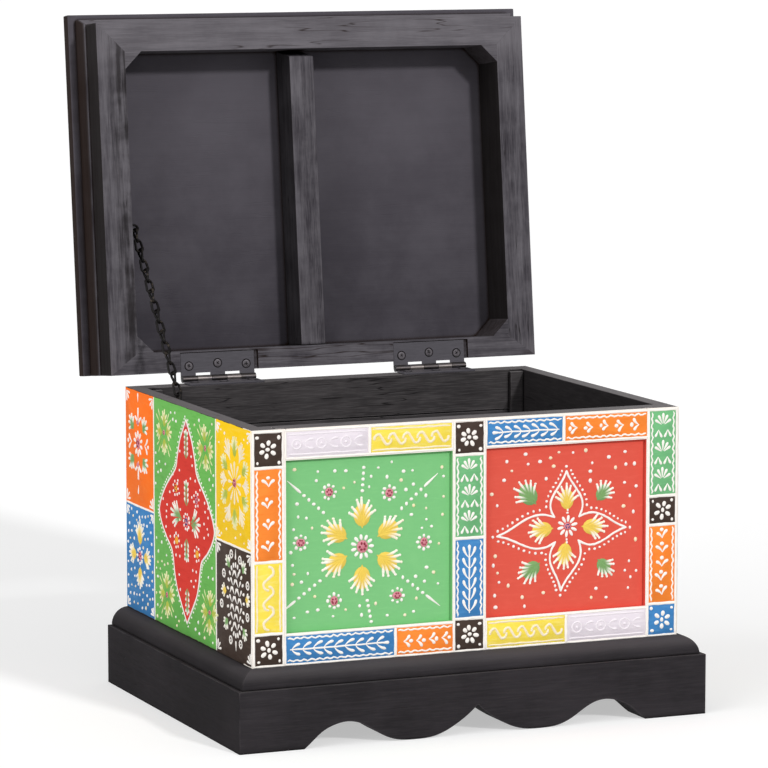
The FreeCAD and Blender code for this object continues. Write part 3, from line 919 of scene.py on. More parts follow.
def ring_row(art, u0, v0, u1, v1, count):
    """Rings and pairs of slanted strokes by turns, pale on a pale ground."""
    ink = art.ink("pale_relief")
    v = (v0 + v1) / 2
    end_room = 3.0
    step = (u1 - u0 - 2 * end_room) / count
    for k in range(count):
        u = u0 + end_room + step * (k + 0.5)
        reach = 3.9 + waver(0.4)
        if k % 2 == 0:
            ink.ring(u, v, reach, sides=12, width=fine_line)
            ink.dot(u, v, radius=1.2)
        else:
            for side in (-1, 1):
                foot = (u - 3.6, v + side * 0.6)
                head = (u + 3.8, v + side * 3.4)
                ink.drop(foot, head, width=2.2, bend=side * 0.15)
    for rail in (v0 + 2.0, v1 - 2.0):
        ink.line(straight((u0 + 1.5, rail), (u1 - 1.5, rail), step=4.0, swing=0.2), fine_line)


def leaf_wash(ink, u, v, angle, length, spread):
    """A thin film of the stroke's foot colour, egg-shaped, under a leaf's strokes."""
    outline = []
    for k in range(wash_sides):
        turn = 2 * math.pi * k / wash_sides
        middle = polar(u, v, angle, length * (wash_middle - wash_half_long * math.cos(turn)))
        aside = length * wash_half_wide * spread * math.sin(turn)
        outline.append(polar(*middle, angle - math.pi / 2, aside))
    ink.slab(outline, film, tip=0.0)


def fan_leaf(ink, u, v, angle, length, strokes=7, spread=0.7, width=2.5, wash=True):
    """A leaf of strokes that spread from one foot, the middle one longest, each with a dot at its head."""
    if wash:
        leaf_wash(ink, u, v, angle, length, spread)
    for k in range(strokes):
        share = 2 * k / (strokes - 1) - 1
        lean = angle + share * spread + waver(0.05)
        reach = length * (0.9 - 0.26 * abs(share) ** 1.4) * (1 + waver(0.05))
        foot = polar(u, v, angle, length * 0.2 * (1 - abs(share)))
        head = polar(u, v, lean, reach)
        ink.drop(foot, head, width * 0.95, bend=-share * 0.12)
        ink.dot(*head, radius=width * 0.46)


def ringed_flower(art, u, v, reach, dots, disc="pink_flowers", ring="maroon_rings"):
    """A disc with a ring of small dots on it and white dots round it."""
    art.ink(disc).dot(u, v, radius=reach * 0.68)
    for k in range(6):
        angle = math.pi / 3 * k + waver(0.3)
        art.ink(ring).dot(*polar(u, v, angle, reach * 0.34), radius=reach * 0.15, lift=overlay_lift)
    for k in range(dots):
        angle = 2 * math.pi * k / dots + waver(0.1)
        radius = reach * 0.25 * (1 + waver(0.15))
        art.ink("white_relief").dot(*polar(u, v, angle, reach), radius)


def scatter(art, u0, v0, u1, v1, count, radius, taken):
    """Dots sprinkled where nothing else is; taken lists circles to keep clear of."""
    inks = (art.ink("white_relief"), art.ink("white_relief"), art.ink("faint_relief"))
    placed = 0
    for attempt in range(count * scatter_tries):
        u = hand.uniform(u0, u1)
        v = hand.uniform(v0, v1)
        if all(math.hypot(u - a, v - b) > r + radius for a, b, r in taken):
            inks[placed % len(inks)].dot(u, v, radius * (1 + waver(0.2)))
            taken.append((u, v, scatter_room))
            placed += 1
        if placed == count:
            break


# Front frame, tile by tile: paint, span along u, span along v, and ornament

front_face = Face((0.0, front_y, 0.0), (1.0, 0.0, 0.0), (0.0, -1.0, 0.0))
panel_face = Face((0.0, panel_y, 0.0), (1.0, 0.0, 0.0), (0.0, -1.0, 0.0))

left_column = (box_left + 2.2, left_in - 3.4)
centre_column = (centre_left + 2.4, centre_right - 2.4)
right_column = (right_in + 2.9, box_right - 2.4)
top_row = (rail_low + 2.4, box_top - 2.6)
bottom_row = (bead_top + 1.4, rail_high - 2.4)

front_tiles = (
    ("black_tiles", left_column, (212.6, top_row[1]), flower_square),
    ("orange_tiles", left_column, (141.5, 210.2), partial(vee_row, count=4, angle=north)),
    ("yellow_tiles", left_column, (87.0, 139.1), partial(scroll, waves=3)),
    ("black_tiles", left_column, (bottom_row[0], 84.6), flower_square),
    ("white_tiles", (left_in + 0.4, -83.2), top_row, partial(ring_row, count=6)),
    ("yellow_tiles", (-80.8, centre_left - 1.0), top_row, partial(scroll, waves=5)),
    ("black_tiles", centre_column, (213.6, top_row[1]), partial(flower_square, petals=7)),
    ("blue_tiles", (centre_right + 0.8, 77.8), top_row, partial(branch, angle=west, pairs=7, leaf=8.6)),
    ("orange_tiles", (80.2, right_in + 0.4), top_row, partial(vee_row, count=5, angle=west)),
    ("green_tiles", right_column, (172.2, top_row[1]), partial(lotus_column, count=3)),
    ("black_tiles", right_column, (149.7, 169.8), flower_square),
    ("orange_tiles", right_column, (87.7, 147.3), partial(vee_row, count=5, angle=north)),
    ("blue_tiles", right_column, (bottom_row[0], 85.3), flower_square),
    ("green_tiles", centre_column, (149.5, 211.2), partial(lotus_column, count=3)),
    ("blue_tiles", centre_column, (87.5, 147.1),
     partial(branch, angle=north, pairs=6, leaf=10.5, lean=0.5)),
    ("blue_tiles", (left_in - 0.2, -62.2), bottom_row, partial(branch, angle=east, pairs=9, leaf=9.0)),
    ("orange_tiles", (-59.8, centre_left + 0.2), bottom_row, partial(vee_row, count=4, angle=east)),
    ("black_tiles", centre_column, (bottom_row[0], 85.1), partial(flower_square, petals=7)),
    ("yellow_tiles", (centre_right + 1.0, 80.4), bottom_row, partial(scroll, waves=5)),
    ("white_tiles", (82.8, right_in + 0.4), bottom_row, partial(ring_row, count=6)),
)

front_art = Painting("front", front_face)
for paint, (u0, u1), (v0, v1), ornament in front_tiles:
    front_art.ink(paint).slab(tile_outline(u0, v0, u1, v1), film)
    for start, end in sides_of(*inside(u0, v0, u1, v1, -line_room)):
        border(front_art.ink("white_relief"), start, end, line_width)
    ornament(front_art, u0, v0, u1, v1)
front_art.finish()


def green_panel():
    """The left panel: a flower in six fans, pink flowers, and dotted rays."""
    art = Painting("green_panel", panel_face)
    ink = art.ink("white_relief")
    u = (left_in + centre_left) / 2 - 4.7
    v = 146.8
    taken = [(u, v, 42.0)]
    ringed_flower(art, u, v, reach=7.2, dots=0)
    petal_ring(ink, u, v, turn=0.0, near=5.2, fars=[9.4 + waver(0.3) for k in range(11)], width=2.7)
    for k in range(6):
        angle = north + math.pi / 3 * k + waver(0.05)
        fan_leaf(art.ink("yellow_leaves"), *polar(u, v, angle, 14.0), angle, length=25.0)
    for du, dv in ((-26.9, 43.0), (22.0, 39.5), (-50.0, 6.0), (50.5, 0.0), (-23.0, -40.0),
                   (28.4, -39.3)):
        ringed_flower(art, u + du, v + dv, reach=5.2, dots=8)
        taken.append((u + du, v + dv, 8.0))
    for angle in (0.70, 2.42, 3.75, 5.62):
        for k in range(5):
            place = polar(u, v, angle, 42.0 + 5.2 * k)
            ink.dot(*place, radius=1.4)
            taken.append((*place, 4.0))
        ink.ray(u, v, angle, near=81.0, far=66.0, width=2.3)
        taken.append((*polar(u, v, angle, 74.0), 8.0))
    for k in range(5):
        for place in ((u + 0.3 * k, v + 42.4 + 4.4 * k), (u + 4.0 + 0.8 * k, v - 41.6 - 4.1 * k)):
            ink.dot(*place, radius=1.4)
            taken.append((*place, 4.0))
    scatter(art, left_in + 5.0, rail_high + 5.0, centre_left - 5.0, rail_low - 6.0,
            count=58, radius=1.3, taken=taken)
    art.finish()


green_panel()


def red_panel():
    """The right panel: four outlined petals with dots along them, fans and a small flower."""
    art = Painting("red_panel", panel_face)
    ink = art.ink("white_relief")
    u = (right_in + centre_right) / 2 + 2.4
    v = 151.5
    tips = ((-1.0, 43.5), (-60.0, -4.4), (-5.5, -50.5), (50.5, -4.0))
    valleys = ((11.6, 8.0), (-13.0, 9.0), (-12.0, -14.0), (11.0, -13.6))
    dot_off = 3.6
    dot_step = 3.0
    taken = []
    for k, tip in enumerate(tips):
        reach = math.hypot(*tip)
        angle = math.atan2(tip[1], tip[0])
        for valley, side in ((valleys[k], -1), (valleys[(k + 1) % 4], 1)):
            out = angle + side * math.pi / 2
            hook = (valley[0] * 0.82, valley[1] * 0.82)
            belly = polar(*polar(*valley, angle, reach * 0.3), out, 9.0)
            neck = polar(*polar(*tip, angle, -reach * 0.3), out, 3.2)
            curve = bezier(hook, belly, neck, tip, count=22)
            ink.line([(u + a + waver(0.1), v + b + waver(0.1)) for a, b in curve], line_width)
            walked = 0.0
            for (a0, b0), (a1, b1) in zip(curve[3:], curve[4:]):
                step = math.hypot(a1 - a0, b1 - b0)
                walked += step
                off = dot_off * side
                place = (u + a1 + (b0 - b1) / step * off, v + b1 + (a1 - a0) / step * off)
                taken.append((*place, 4.5))
                if walked > dot_step:
                    walked = 0.0
                    ink.dot(*place, radius=1.05 + waver(0.15))
        foot = polar(u, v, angle, 12.0)
        fan_leaf(art.ink("yellow_leaves"), *foot, angle, length=min(24.0, reach - 21.0),
                 spread=0.66, width=2.3)
        taken.append((*polar(u, v, angle, reach * 0.5), reach * 0.5))
        ink.dot(*polar(u + tip[0], v + tip[1], angle, 3.0), radius=1.2)
    ringed_flower(art, u, v, reach=4.2, dots=0, ring="navy_rings")
    petal_ring(ink, u, v, turn=0.2, near=3.4, fars=[8.6] * 10, width=2.5)
    for place in ((0.0, 10.4), (0.2, 12.6), (-0.6, -10.4), (-0.4, -12.6)):
        ink.dot(u + place[0], v + place[1], radius=1.0)
    for foot, angle, length in (((-26.5, 18.5), 2.28, 26.0), ((25.0, 18.5), 0.85, 20.0),
                                ((-23.0, -27.0), 3.72, 23.0), ((26.0, -27.5), 5.45, 19.5)):
        place = (u + foot[0], v + foot[1])
        fan_leaf(art.ink("green_leaves"), *place, angle, length, width=2.2)
        taken.append((*polar(*place, angle, length * 0.55), length * 0.65))
    scatter(art, centre_right + 5.0, rail_high + 5.0, right_in - 5.0, rail_low - 6.0,
            count=46, radius=1.4, taken=taken)
    art.finish()


red_panel()


# Sides: a green field with a tall medallion between two pairs of tiles

side_back = -back_y
side_front = -front_y
back_column = side_front - 214.7
front_column = side_front - 75.2
back_split = 147.0
front_split = 148.0
tile_room = 0.4
side_line = 1.8
medallion_u = side_front - 140.2
medallion_v = 151.0
# Half outline of the medallion from its upper tip to its lower one: height and half width
medallion_profile = ((80.0, 0.0), (72.0, 6.5), (63.0, 13.5), (50.0, 19.5), (41.0, 22.5), (35.0, 28.5),
                     (27.0, 40.0), (20.0, 48.5), (12.0, 56.0), (3.0, 61.5), (-3.0, 60.5), (-11.0, 54.5),
                     (-19.0, 45.0), (-26.0, 34.0), (-34.0, 30.0), (-45.0, 27.0), (-56.0, 21.5), (-67.0, 12.0),
                     (-80.0, 0.0))


def spray(art, u, v, size):
    """A small flower with four lime fans and thin strokes between them."""
    ringed_flower(art, u, v, reach=size * 0.2, dots=0)
    lime = art.ink("lime_leaves")
    for k in range(4):
        angle = math.pi / 2 * k + waver(0.15)
        fan_leaf(lime, *polar(u, v, angle, size * 0.24), angle, length=size * 0.8, strokes=5)
    for k in range(8):
        angle = math.pi / 4 + math.pi / 2 * (k // 2) + (k % 2 - 0.5) * 0.3
        lime.ray(u, v, angle, near=size * 0.3, far=size * (1.15 + waver(0.12)), width=1.3)


def corner_sprigs(art, u0, v0, u1, v1, size):
    """Three strokes in each corner of a tile, opening to the middle."""
    for u, v, turn in ((u0, v0, 0.25), (u1, v0, 0.75), (u1, v1, 1.25), (u0, v1, 1.75)):
        heading = turn * math.pi
        foot = polar(u, v, heading, 3.5)
        for side in (-1, 0, 1):
            art.ink("white_relief").ray(*foot, heading + side * 0.62, near=0.0, far=size, width=2.2)


def feather(ink, u, v, angle, length, pairs, leaf):
    """A leaf of paired strokes along a line, with one at its end."""
    for k in range(pairs):
        joint = polar(u, v, angle, length * k / pairs)
        for side in (-1, 1):
            ink.drop(joint, polar(*joint, angle + side * 0.6, leaf), width=3.0)
    ink.ray(u, v, angle, near=length * 0.75, far=length + leaf * 0.5, width=3.2)


def medallion(art):
    """A tall red shape with a dotted outline, leaves, flowers and sprinkled dots."""
    u, v = medallion_u, medallion_v
    half = smooth_path(medallion_profile, count=3)
    outline = [(u - wide, v + height) for height, wide in half]
    outline += [(u + wide, v + height) for height, wide in half[-2:0:-1]]
    art.ink("red_tiles").slab(outline, film * 2)
    ink = art.ink("white_relief")
    ink.loop(outline, width=1.9)
    dot_off = 3.0
    for i, (a, b) in enumerate(outline):
        c, d = outline[(i + 1) % len(outline)]
        length = math.hypot(c - a, d - b)
        ink.dot(a - (b - d) / length * dot_off, b - (c - a) / length * dot_off, radius=0.95)
    ringed_flower(art, u, v, reach=6.2, dots=10, ring="navy_rings")
    green = art.ink("green_leaves")
    fan_leaf(green, *polar(u, v, west, 9.0), angle=2.95, length=29.0, spread=0.6, width=3.1)
    fan_leaf(green, *polar(u, v, east, 8.5), angle=0.1, length=24.0, spread=0.75, width=3.1)
    for du, dv, angle, length, pairs, leaf in ((0.0, 12.0, north, 17.0, 4, 8.0),
                                               (0.0, -13.0, -north, 15.0, 4, 8.0),
                                               (0.0, 49.0, north, 20.0, 5, 7.0),
                                               (1.0, -52.0, -north, 18.0, 4, 7.0)):
        feather(green, u + du, v + dv, angle, length, pairs, leaf)
    ringed_flower(art, u, v + 75.0, reach=2.8, dots=0)
    taken = [(u, v, 12.0), (u - 22.0, v, 17.0), (u + 20.0, v, 16.0)]
    taken += [(u, v + 8.0 * k, 10.0) for k in range(-9, 10) if abs(k) != 5]
    for du, dv, disc, ring in ((-24.0, 23.0, "orange_flowers", "maroon_rings"),
                               (22.5, 20.5, "pink_flowers", "maroon_rings"),
                               (-22.5, -18.0, "orange_flowers", "orange_flowers"),
                               (23.5, -22.0, "orange_flowers", "orange_flowers")):
        ringed_flower(art, u + du, v + dv, reach=5.6, dots=7, disc=disc, ring=ring)
        taken.append((u + du, v + dv, 8.0))
    for attempt in range(400):
        du = hand.uniform(-55.0, 55.0)
        dv = hand.uniform(-62.0, 66.0)
        limit = next(wide for height, wide in medallion_profile if height <= dv) - 4.0
        if abs(du) < limit and all(math.hypot(u + du - a, v + dv - b) > r for a, b, r in taken):
            ink.dot(u + du, v + dv, radius=1.35)
            taken.append((u + du, v + dv, 6.5))


def orange_side_tile(art, u0, v0, u1, v1):
    """A petalled flower with four fans, and vees beside it."""
    u, v = (u0 + u1) / 2 - 3.5, (v0 + v1) / 2 + 4.0
    ringed_flower(art, u, v, reach=6.6, dots=0)
    ink = art.ink("white_relief")
    petal_ring(ink, u, v, turn=0.35, near=5.0, fars=[10.5] * 10, width=3.0)
    for k in range(4):
        angle = math.pi / 4 + math.pi / 2 * k
        fan_leaf(art.ink("green_leaves"), *polar(u, v, angle, 15.0), angle, length=15.0,
                 strokes=5, spread=0.8, width=2.9)
    for angle in (north, -north):
        fan_leaf(ink, *polar(u, v, angle, 14.0), angle, length=15.0, strokes=3, width=2.8, wash=False)
        art.ink("pink_flowers").dot(*polar(u, v, angle, 17.0), radius=2.2, lift=overlay_lift)
    for angle in (east, west):
        vee(ink, *polar(u, v, angle, 15.0), angle, size=9.0)
    corner_sprigs(art, u0, v0, u1, v1, size=8.5)
    for dv in (-37.0, 37.0):
        ink.drop((u, v + dv * 0.9), (u, v + dv * 1.1), width=2.2)


def blue_side_tile(art, u0, v0, u1, v1):
    """A flower with four fans among sprinkled dots."""
    u, v = (u0 + u1) / 2 - 1.0, (v0 + v1) / 2 + 3.0
    ringed_flower(art, u, v, reach=6.0, dots=8)
    taken = [(u, v, 9.0)]
    for angle, length in ((north, 22.0), (-north, 19.0), (east, 19.0), (west, 18.0)):
        fan_leaf(art.ink("yellow_leaves"), *polar(u, v, angle, 8.5), angle, length, width=2.6)
        taken.append((*polar(u, v, angle, 18.0), 11.0))
    corner_sprigs(art, u0, v0, u1, v1, size=7.0)
    scatter(art, *inside(u0, v0, u1, v1, 4.0), count=70, radius=1.3, taken=taken)


def yellow_side_tile(art, u0, v0, u1, v1):
    """A large flower of thin petals and two kinds of fan by turns."""
    u, v = (u0 + u1) / 2 + 2.5, (v0 + v1) / 2 + 2.0
    ringed_flower(art, u, v, reach=5.8, dots=0)
    faint = art.ink("faint_relief")
    for k in range(12):
        angle = north + math.pi / 6 * k
        tall = 1 + 0.22 * abs(math.sin(angle))
        faint.ray(u, v, angle, near=4.6, far=13.5 * tall, width=2.7)
        start = polar(u, v, angle, 15.5 * tall)
        if k % 2:
            fan_leaf(faint, *start, angle, length=16.0 * tall, spread=0.55, width=2.0, wash=False)
        else:
            fan_leaf(art.ink("lime_leaves"), *start, angle, length=15.0 * tall, spread=0.6, width=2.0)
    corner_sprigs(art, u0, v0, u1, v1, size=7.0)
    scatter(art, *inside(u0, v0, u1, v1, 5.0), count=14, radius=1.1, taken=[(u, v, 38.0)])


def black_side_tile(art, u0, v0, u1, v1):
    """An upright oval of slanted strokes, with fans and small rings round it."""
    u, v = (u0 + u1) / 2 + 4.0, (v0 + v1) / 2 + 2.5
    ink = art.ink("white_relief")
    half_wide = 15.0
    half_high = 25.0
    row_step = 6.6
    stroke_step = 5.0
    petals = 24
    for k in range(petals):
        angle = 2 * math.pi * k / petals
        place = (u + half_wide * math.cos(angle), v + half_high * math.sin(angle))
        ink.ray(*place, angle, near=0.0, far=4.0, width=2.6, profile=petal_profile)
    for row in range(-3, 4):
        room = half_wide * math.sqrt(1 - (row * row_step / half_high) ** 2) - 1.5
        count = max(1, int(room * 2 / stroke_step))
        for k in range(count):
            place = (u - room + 2 * room * (k + 0.5) / count, v + row * row_step)
            lean = 0.9 if (row + k) % 2 else 2.2
            ink.ray(*place, lean, near=-3.2, far=3.4, width=2.4)
    for end in (-1, 1):
        ink.drop((u, v + end * 39.0), (u, v + end * 31.0), width=2.2)
    for du, dv, angle in ((-13.0, 23.0, 2.2), (14.0, 23.0, 0.9), (-17.0, -17.0, 3.9), (15.0, -19.0, 5.5)):
        fan_leaf(art.ink("green_leaves"), u + du, v + dv, angle, length=11.0,
                 strokes=5, spread=0.75, width=2.4)
    for du, angle in ((-20.0, west), (20.0, east)):
        fan_leaf(art.ink("yellow_leaves"), u + du, v + 4.0, angle, length=10.5,
                 strokes=5, spread=0.75, width=2.4)
    for du, dv in ((-9.0, 34.0), (9.0, 32.0), (-25.0, 17.0), (25.0, 15.0), (-30.0, -7.0), (24.5, -9.0),
                   (-11.0, -32.0), (10.0, -32.0)):
        ink.ring(u + du, v + dv, radius=2.9, sides=9, width=1.5)
        ink.dot(u + du, v + dv, radius=0.8)
    corner_sprigs(art, u0, v0, u1, v1, size=8.0)


def field_tile(art, u0, v0, u1, v1):
    """Green field behind the medallion, with a spray in each corner."""
    places = [(medallion_u + du, v)
              for du, v in ((-51.0, 214.3), (42.0, 214.0), (-46.0, 86.0), (50.0, 88.0))]
    for u, v in places:
        spray(art, u, v, size=18.0)
    taken = [(u, v, 22.0) for u, v in places]
    taken += [(medallion_u + share * half, medallion_v + height, 12.0)
              for height, half in medallion_profile for share in (-1.0, -0.5, 0.0, 0.5, 1.0)]
    scatter(art, *inside(u0, v0, u1, v1, 4.0), count=50, radius=1.3, taken=taken)
    medallion(art)


# Tiles of a side: paint, lower corner, upper corner and ornament
side_tiles = (
    ("deep_orange_tiles", side_back, back_split, back_column, box_top, orange_side_tile),
    ("blue_tiles", side_back, bead_top, back_column, back_split, blue_side_tile),
    ("field_green_tiles", back_column, bead_top, front_column, box_top, field_tile),
    ("warm_yellow_tiles", front_column, front_split, side_front, box_top, yellow_side_tile),
    ("black_tiles", front_column, bead_top, side_front, front_split, black_side_tile),
)


def painted_side(name, place_x, outward):
    """The tiles of one side and the lines between them."""
    art = Painting(name, Face((place_x, 0.0, 0.0), (0.0, -1.0, 0.0), (outward, 0.0, 0.0)))
    for paint, u0, v0, u1, v1, ornament in side_tiles:
        outline = tile_outline(*inside(u0, v0, u1, v1, tile_room))
        art.ink(paint).slab(outline, film)
        ornament(art, u0, v0, u1, v1)
    low = bead_top + 0.5
    high = box_top - 0.5
    corner_u = side_front - 0.8
    for start, end, width in (((back_column, low), (back_column, high), side_line),
                              ((front_column, low), (front_column, high), side_line),
                              ((side_back + 1.0, back_split), (back_column, back_split), side_line),
                              ((front_column, front_split), (side_front - 1.0, front_split), side_line),
                              ((corner_u, low), (corner_u, high), fine_line)):
        border(art.ink("white_relief"), start, end, width)
    art.finish()


painted_side("left_side", box_left, -1.0)
painted_side("right_side", box_right, 1.0)


# Wood and hardware of the model itself

free_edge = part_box("lid_front_rail")[0].z
stile_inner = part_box("lid_left_stile")[1].x
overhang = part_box("lid_left_moulding")[0].x
plinth_grain = {"Grain": 0.3, "Fibres": 0.08, "Cracks": 0.0}
# Lid parts: rubbed edges, with sideways faces and hollows painted brown-black as painted shade.
lid_wear_and_shade = {"Lean": lid_lean, "Shade And Crack Black": lid_shade_and_crack_brown, "Edge Wear": 0.2, "Side Shade": 0.92}
rim_grain = {"Grain": 0.5, "Patches": 34.0, "Fibres": 0.25}
# The rim is painted lighter towards the lid's free edge, at the top of the open lid: painted light.
rim_wear_light_and_shade = {**rim_grain, **lid_wear_and_shade,
            "Top Light From": free_edge - 25.0 * mm, "Top Light To": free_edge + 14.0 * mm}
stile_wear_light_and_shade = {**rim_wear_light_and_shade, "Shade And Crack Black": stile_shade_and_crack_black}

finishes = {
    # The back wall, carcass and plinth are painted lighter on faces that look up: painted light from above.
    "back": black_wood("black back wall", along_x, inside_tones, {"Grain": 0.35, "Fibres": 0.2, "Light On Up Faces": 0.8}),
    "plinth": black_wood("black plinth, grain across", along_x, plinth_tones, {**plinth_grain, "Light On Up Faces": 0.5}),
    "plinth_side": black_wood("black plinth, grain front to back", along_y, plinth_tones,
                              {**plinth_grain, "Light On Up Faces": 0.25, "Side Shade": 0.45}),
    # The lid board is painted lighter upwards towards its free edge, painted light, and darker along its
    # overhanging left edge, painted shade.
    "lid_top": black_wood("black lid board", along_x, board_tones, {
        **lid_wear_and_shade, "Grain": 0.1, "Fibres": 0.03, "Cracks": 0.0,
        "Top Light From": box_top * mm, "Top Light To": free_edge,
        "Dark Band": 0.3, "Dark Band From": overhang + 0.5 * mm, "Dark Band To": overhang - 0.5 * mm}),
    "lid_rail": black_wood("black lid rail", along_x, rim_tones, rim_wear_light_and_shade),
    "lid_side": black_wood("black lid moulding", along_z, rim_tones, rim_wear_light_and_shade),
    "lid_right_stile": black_wood("black lid stile", along_z, rim_tones, stile_wear_light_and_shade),
    "lid_left_stile": black_wood("black lid stile with a darker inner edge", along_z, rim_tones, {
        **stile_wear_light_and_shade, "Dark Band": 0.7,
        "Dark Band From": stile_inner - 19.0 * mm, "Dark Band To": stile_inner - 4.0 * mm}),
    "batten": black_wood("black lid batten", along_z, rim_tones,
                         {**rim_grain, "Lean": lid_lean, "Edge Wear": 0.2}),
    "frame": painted_outside("painted front frame", seen(246, 239, 231), seen(232, 220, 208), along_x,
                             reveals=True),
    "side": painted_outside("painted side board", seen(58, 50, 44), seen(74, 64, 56), along_y),
    "green_panel": painted_outside("green panel", panel_green, seen(136, 203, 136), along_x),
    "red_panel": painted_outside("red panel", panel_red, seen(228, 102, 86), along_x),
    # The box leaf's knuckles get brighter steel than the lid leaf's: a painted highlight, a lit copy of the
    # same steel.
    "box_hinge": worn_hinge("box leaf steel under black paint", seen(44, 42, 43), seen(124, 117, 114)),
    "lid_hinge": worn_hinge("lid leaf steel under black paint", seen(30, 28, 28), seen(82, 77, 76)),
    "sawn": sawn_wood("bare sawn wood"),
}
chain_finish = dark_steel("blackened chain", seen(18, 16, 16), seen(86, 78, 70),
                          shine=0.6, spots=(0.54, 0.74))
screw_finish = dark_steel("painted screw steel", seen(24, 22, 24), seen(92, 88, 92),
                          shine=0.3, spots=(0.22, 0.5))

node_finishes = {
    "back": ("back_upper_board", "back_lower_board", "back_corner_posts", "bottom_board"),
    "plinth": ("plinth_front_apron", "plinth_back_board", "bead_front"),
    "plinth_side": ("plinth_left_board", "plinth_right_board", "bead_left", "bead_right"),
    "lid_top": ("lid_top_board",),
    "lid_rail": ("lid_front_rail", "lid_rear_rail", "lid_front_moulding", "lid_corner_blocks"),
    "lid_side": ("lid_left_moulding", "lid_right_moulding"),
    "lid_right_stile": ("lid_right_stile",),
    "lid_left_stile": ("lid_left_stile",),
    "batten": ("lid_batten",),
    "frame": ("front_left_stile", "front_right_stile", "front_centre_stile", "front_top_rail",
              "front_bottom_rail"),
    "side": ("left_side_board", "right_side_board"),
    "green_panel": ("front_left_panel",),
    "red_panel": ("front_right_panel",),
    "box_hinge": ("hinge_left_box_leaf", "hinge_right_box_leaf", "hinge_pins"),
    "lid_hinge": ("hinge_left_lid_leaf", "hinge_right_lid_leaf"),
    "sawn": ("plinth_glue_blocks",),
}

# Rounding of sharp edges: of most wood, of the hinge leaves, and of the lid's rim, whose mitres stay tight
wood_rounding = 0.7 * mm
leaf_rounding = 0.25 * mm
rim_rounding = 0.1 * mm
edge_rounding = {"box_hinge": leaf_rounding, "lid_hinge": leaf_rounding, "lid_rail": rim_rounding,
                 "lid_right_stile": rim_rounding, "lid_left_stile": rim_rounding}


def soften_edges(node, rounding):
    """Rounds a model node's sharp edges without touching its mesh."""
    weld = node.modifiers.new("join corners", "WELD")
    weld.merge_threshold = 0.01 * mm
    bevel = node.modifiers.new("rounded edges", "BEVEL")
    bevel.width = rounding
    bevel.segments = 2
    bevel.limit_method = "ANGLE"
    bevel.angle_limit = math.radians(40.0)
    bevel.use_clamp_overlap = True
    normals = node.modifiers.new("even shading", "WEIGHTED_NORMAL")
    normals.keep_sharp = False


for finish_name, node_names in node_finishes.items():
    for node_name in node_names:
        node = frame["nodes"][node_name]
        node.data.materials.clear()
        node.data.materials.append(finishes[finish_name])
        soften_edges(node, edge_rounding.get(finish_name, wood_rounding))


# Chain stay and screw eyes

wire_radius = 1.0 * mm
wire_sides = 8
link_reach = 11.96 * mm
link_half_width = 2.7 * mm
link_step = 9.91 * mm
link_overlap = link_reach - link_step
link_twist = math.radians(48.0)
link_corners = 28
eye_radius = 3.2 * mm
eye_corners = 24
eye_turn = 2 * math.pi * 0.96
eye_shank_steps = 5


def tube(path, radius, closed):
    """Points and faces of a round wire along a path."""
    points = []
    faces = []
    count = len(path)
    across = None
    for i, place in enumerate(path):
        if closed:
            along = path[(i + 1) % count] - path[i - 1]
        else:
            along = path[min(i + 1, count - 1)] - path[max(i - 1, 0)]
        along.normalize()
        if across is None:
            across = along.orthogonal()
        across = (across - along * across.dot(along)).normalized()
        side = along.cross(across)
        for k in range(wire_sides):
            angle = 2 * math.pi * k / wire_sides
            points.append(place + (across * math.cos(angle) + side * math.sin(angle)) * radius)
    for i in range(count if closed else count - 1):
        a = i * wire_sides
        b = (i + 1) % count * wire_sides
        for k in range(wire_sides):
            n = (k + 1) % wire_sides
            faces.append((a + k, a + n, b + n, b + k))
    if not closed:
        faces.append(tuple(range(wire_sides)))
        faces.append(tuple(range((count - 1) * wire_sides, count * wire_sides)))
    return points, faces


def join_mesh(points, faces, new_points, new_faces):
    """Adds the points and faces of one mesh to those of another."""
    faces.extend(tuple(k + len(points) for k in face) for face in new_faces)
    points.extend(new_points)


def link_path(start, along, across):
    """Middle line of one twisted link."""
    path = []
    straight_run = link_reach - 2 * link_half_width
    for k in range(link_corners):
        turn = 2 * math.pi * k / link_corners
        run = link_half_width * math.cos(turn) + math.copysign(straight_run / 2, math.cos(turn))
        wide = link_half_width * math.sin(turn)
        twist = link_twist * run / link_reach
        flat = Matrix.Rotation(twist, 3, along) @ across
        path.append(start + along * (link_reach / 2 + run) + flat * wide)
    return path


chain_pivots = [Vector(joints["stay_chain_turn_" + str(i)]["pos_m"]) for i in (1, 2, 3)]
run_links = (3, 5, 11)
first_way = (chain_pivots[1] - chain_pivots[0]).normalized()
second_way = (chain_pivots[2] - chain_pivots[1]).normalized()
run_ways = (first_way, second_way, second_way)
sideways = Vector((1.0, 0.0, 0.0))
upright = True
for number, (pivot, way, count) in enumerate(zip(chain_pivots, run_ways, run_links), 1):
    points = []
    faces = []
    place = -link_overlap if upright else 0.0
    for i in range(count):
        across = way.cross(sideways) if upright else sideways
        join_mesh(points, faces, *tube(link_path(pivot + way * place, way, across), wire_radius, True))
        place += link_step
        upright = not upright
    last_end = pivot + way * (place - link_step + (link_step if not upright else link_reach))
    run_name = "stay_chain_run_" + str(number)
    links = build("stay_chain_links_" + str(number), points, faces, chain_finish, run_name,
                  [1.0] * len(points))
    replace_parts(links, run_name)


def screw_eye(name, pivot, pull, node, body):
    """A wire eye whose shank goes into the wood beside it."""
    centre = pivot - pull * eye_radius
    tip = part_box(node)[0].x
    shank = centre.x - eye_radius - tip
    path = [Vector((tip + shank * i / eye_shank_steps, centre.y, centre.z)) for i in range(eye_shank_steps)]
    for k in range(eye_corners + 1):
        angle = math.pi + eye_turn * k / eye_corners
        path.append(centre + (sideways * math.cos(angle) + pull * math.sin(angle)) * eye_radius)
    points, faces = tube(path, wire_radius, False)
    eye = build(name, points, faces, chain_finish, body, [1.0] * len(points))
    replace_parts(eye, node)


screw_eye("box_eye_wire", chain_pivots[0], run_ways[0], "box_screw_eye", "box")
screw_eye("lid_eye_wire", last_end, -run_ways[2], "lid_screw_eye", "lid")
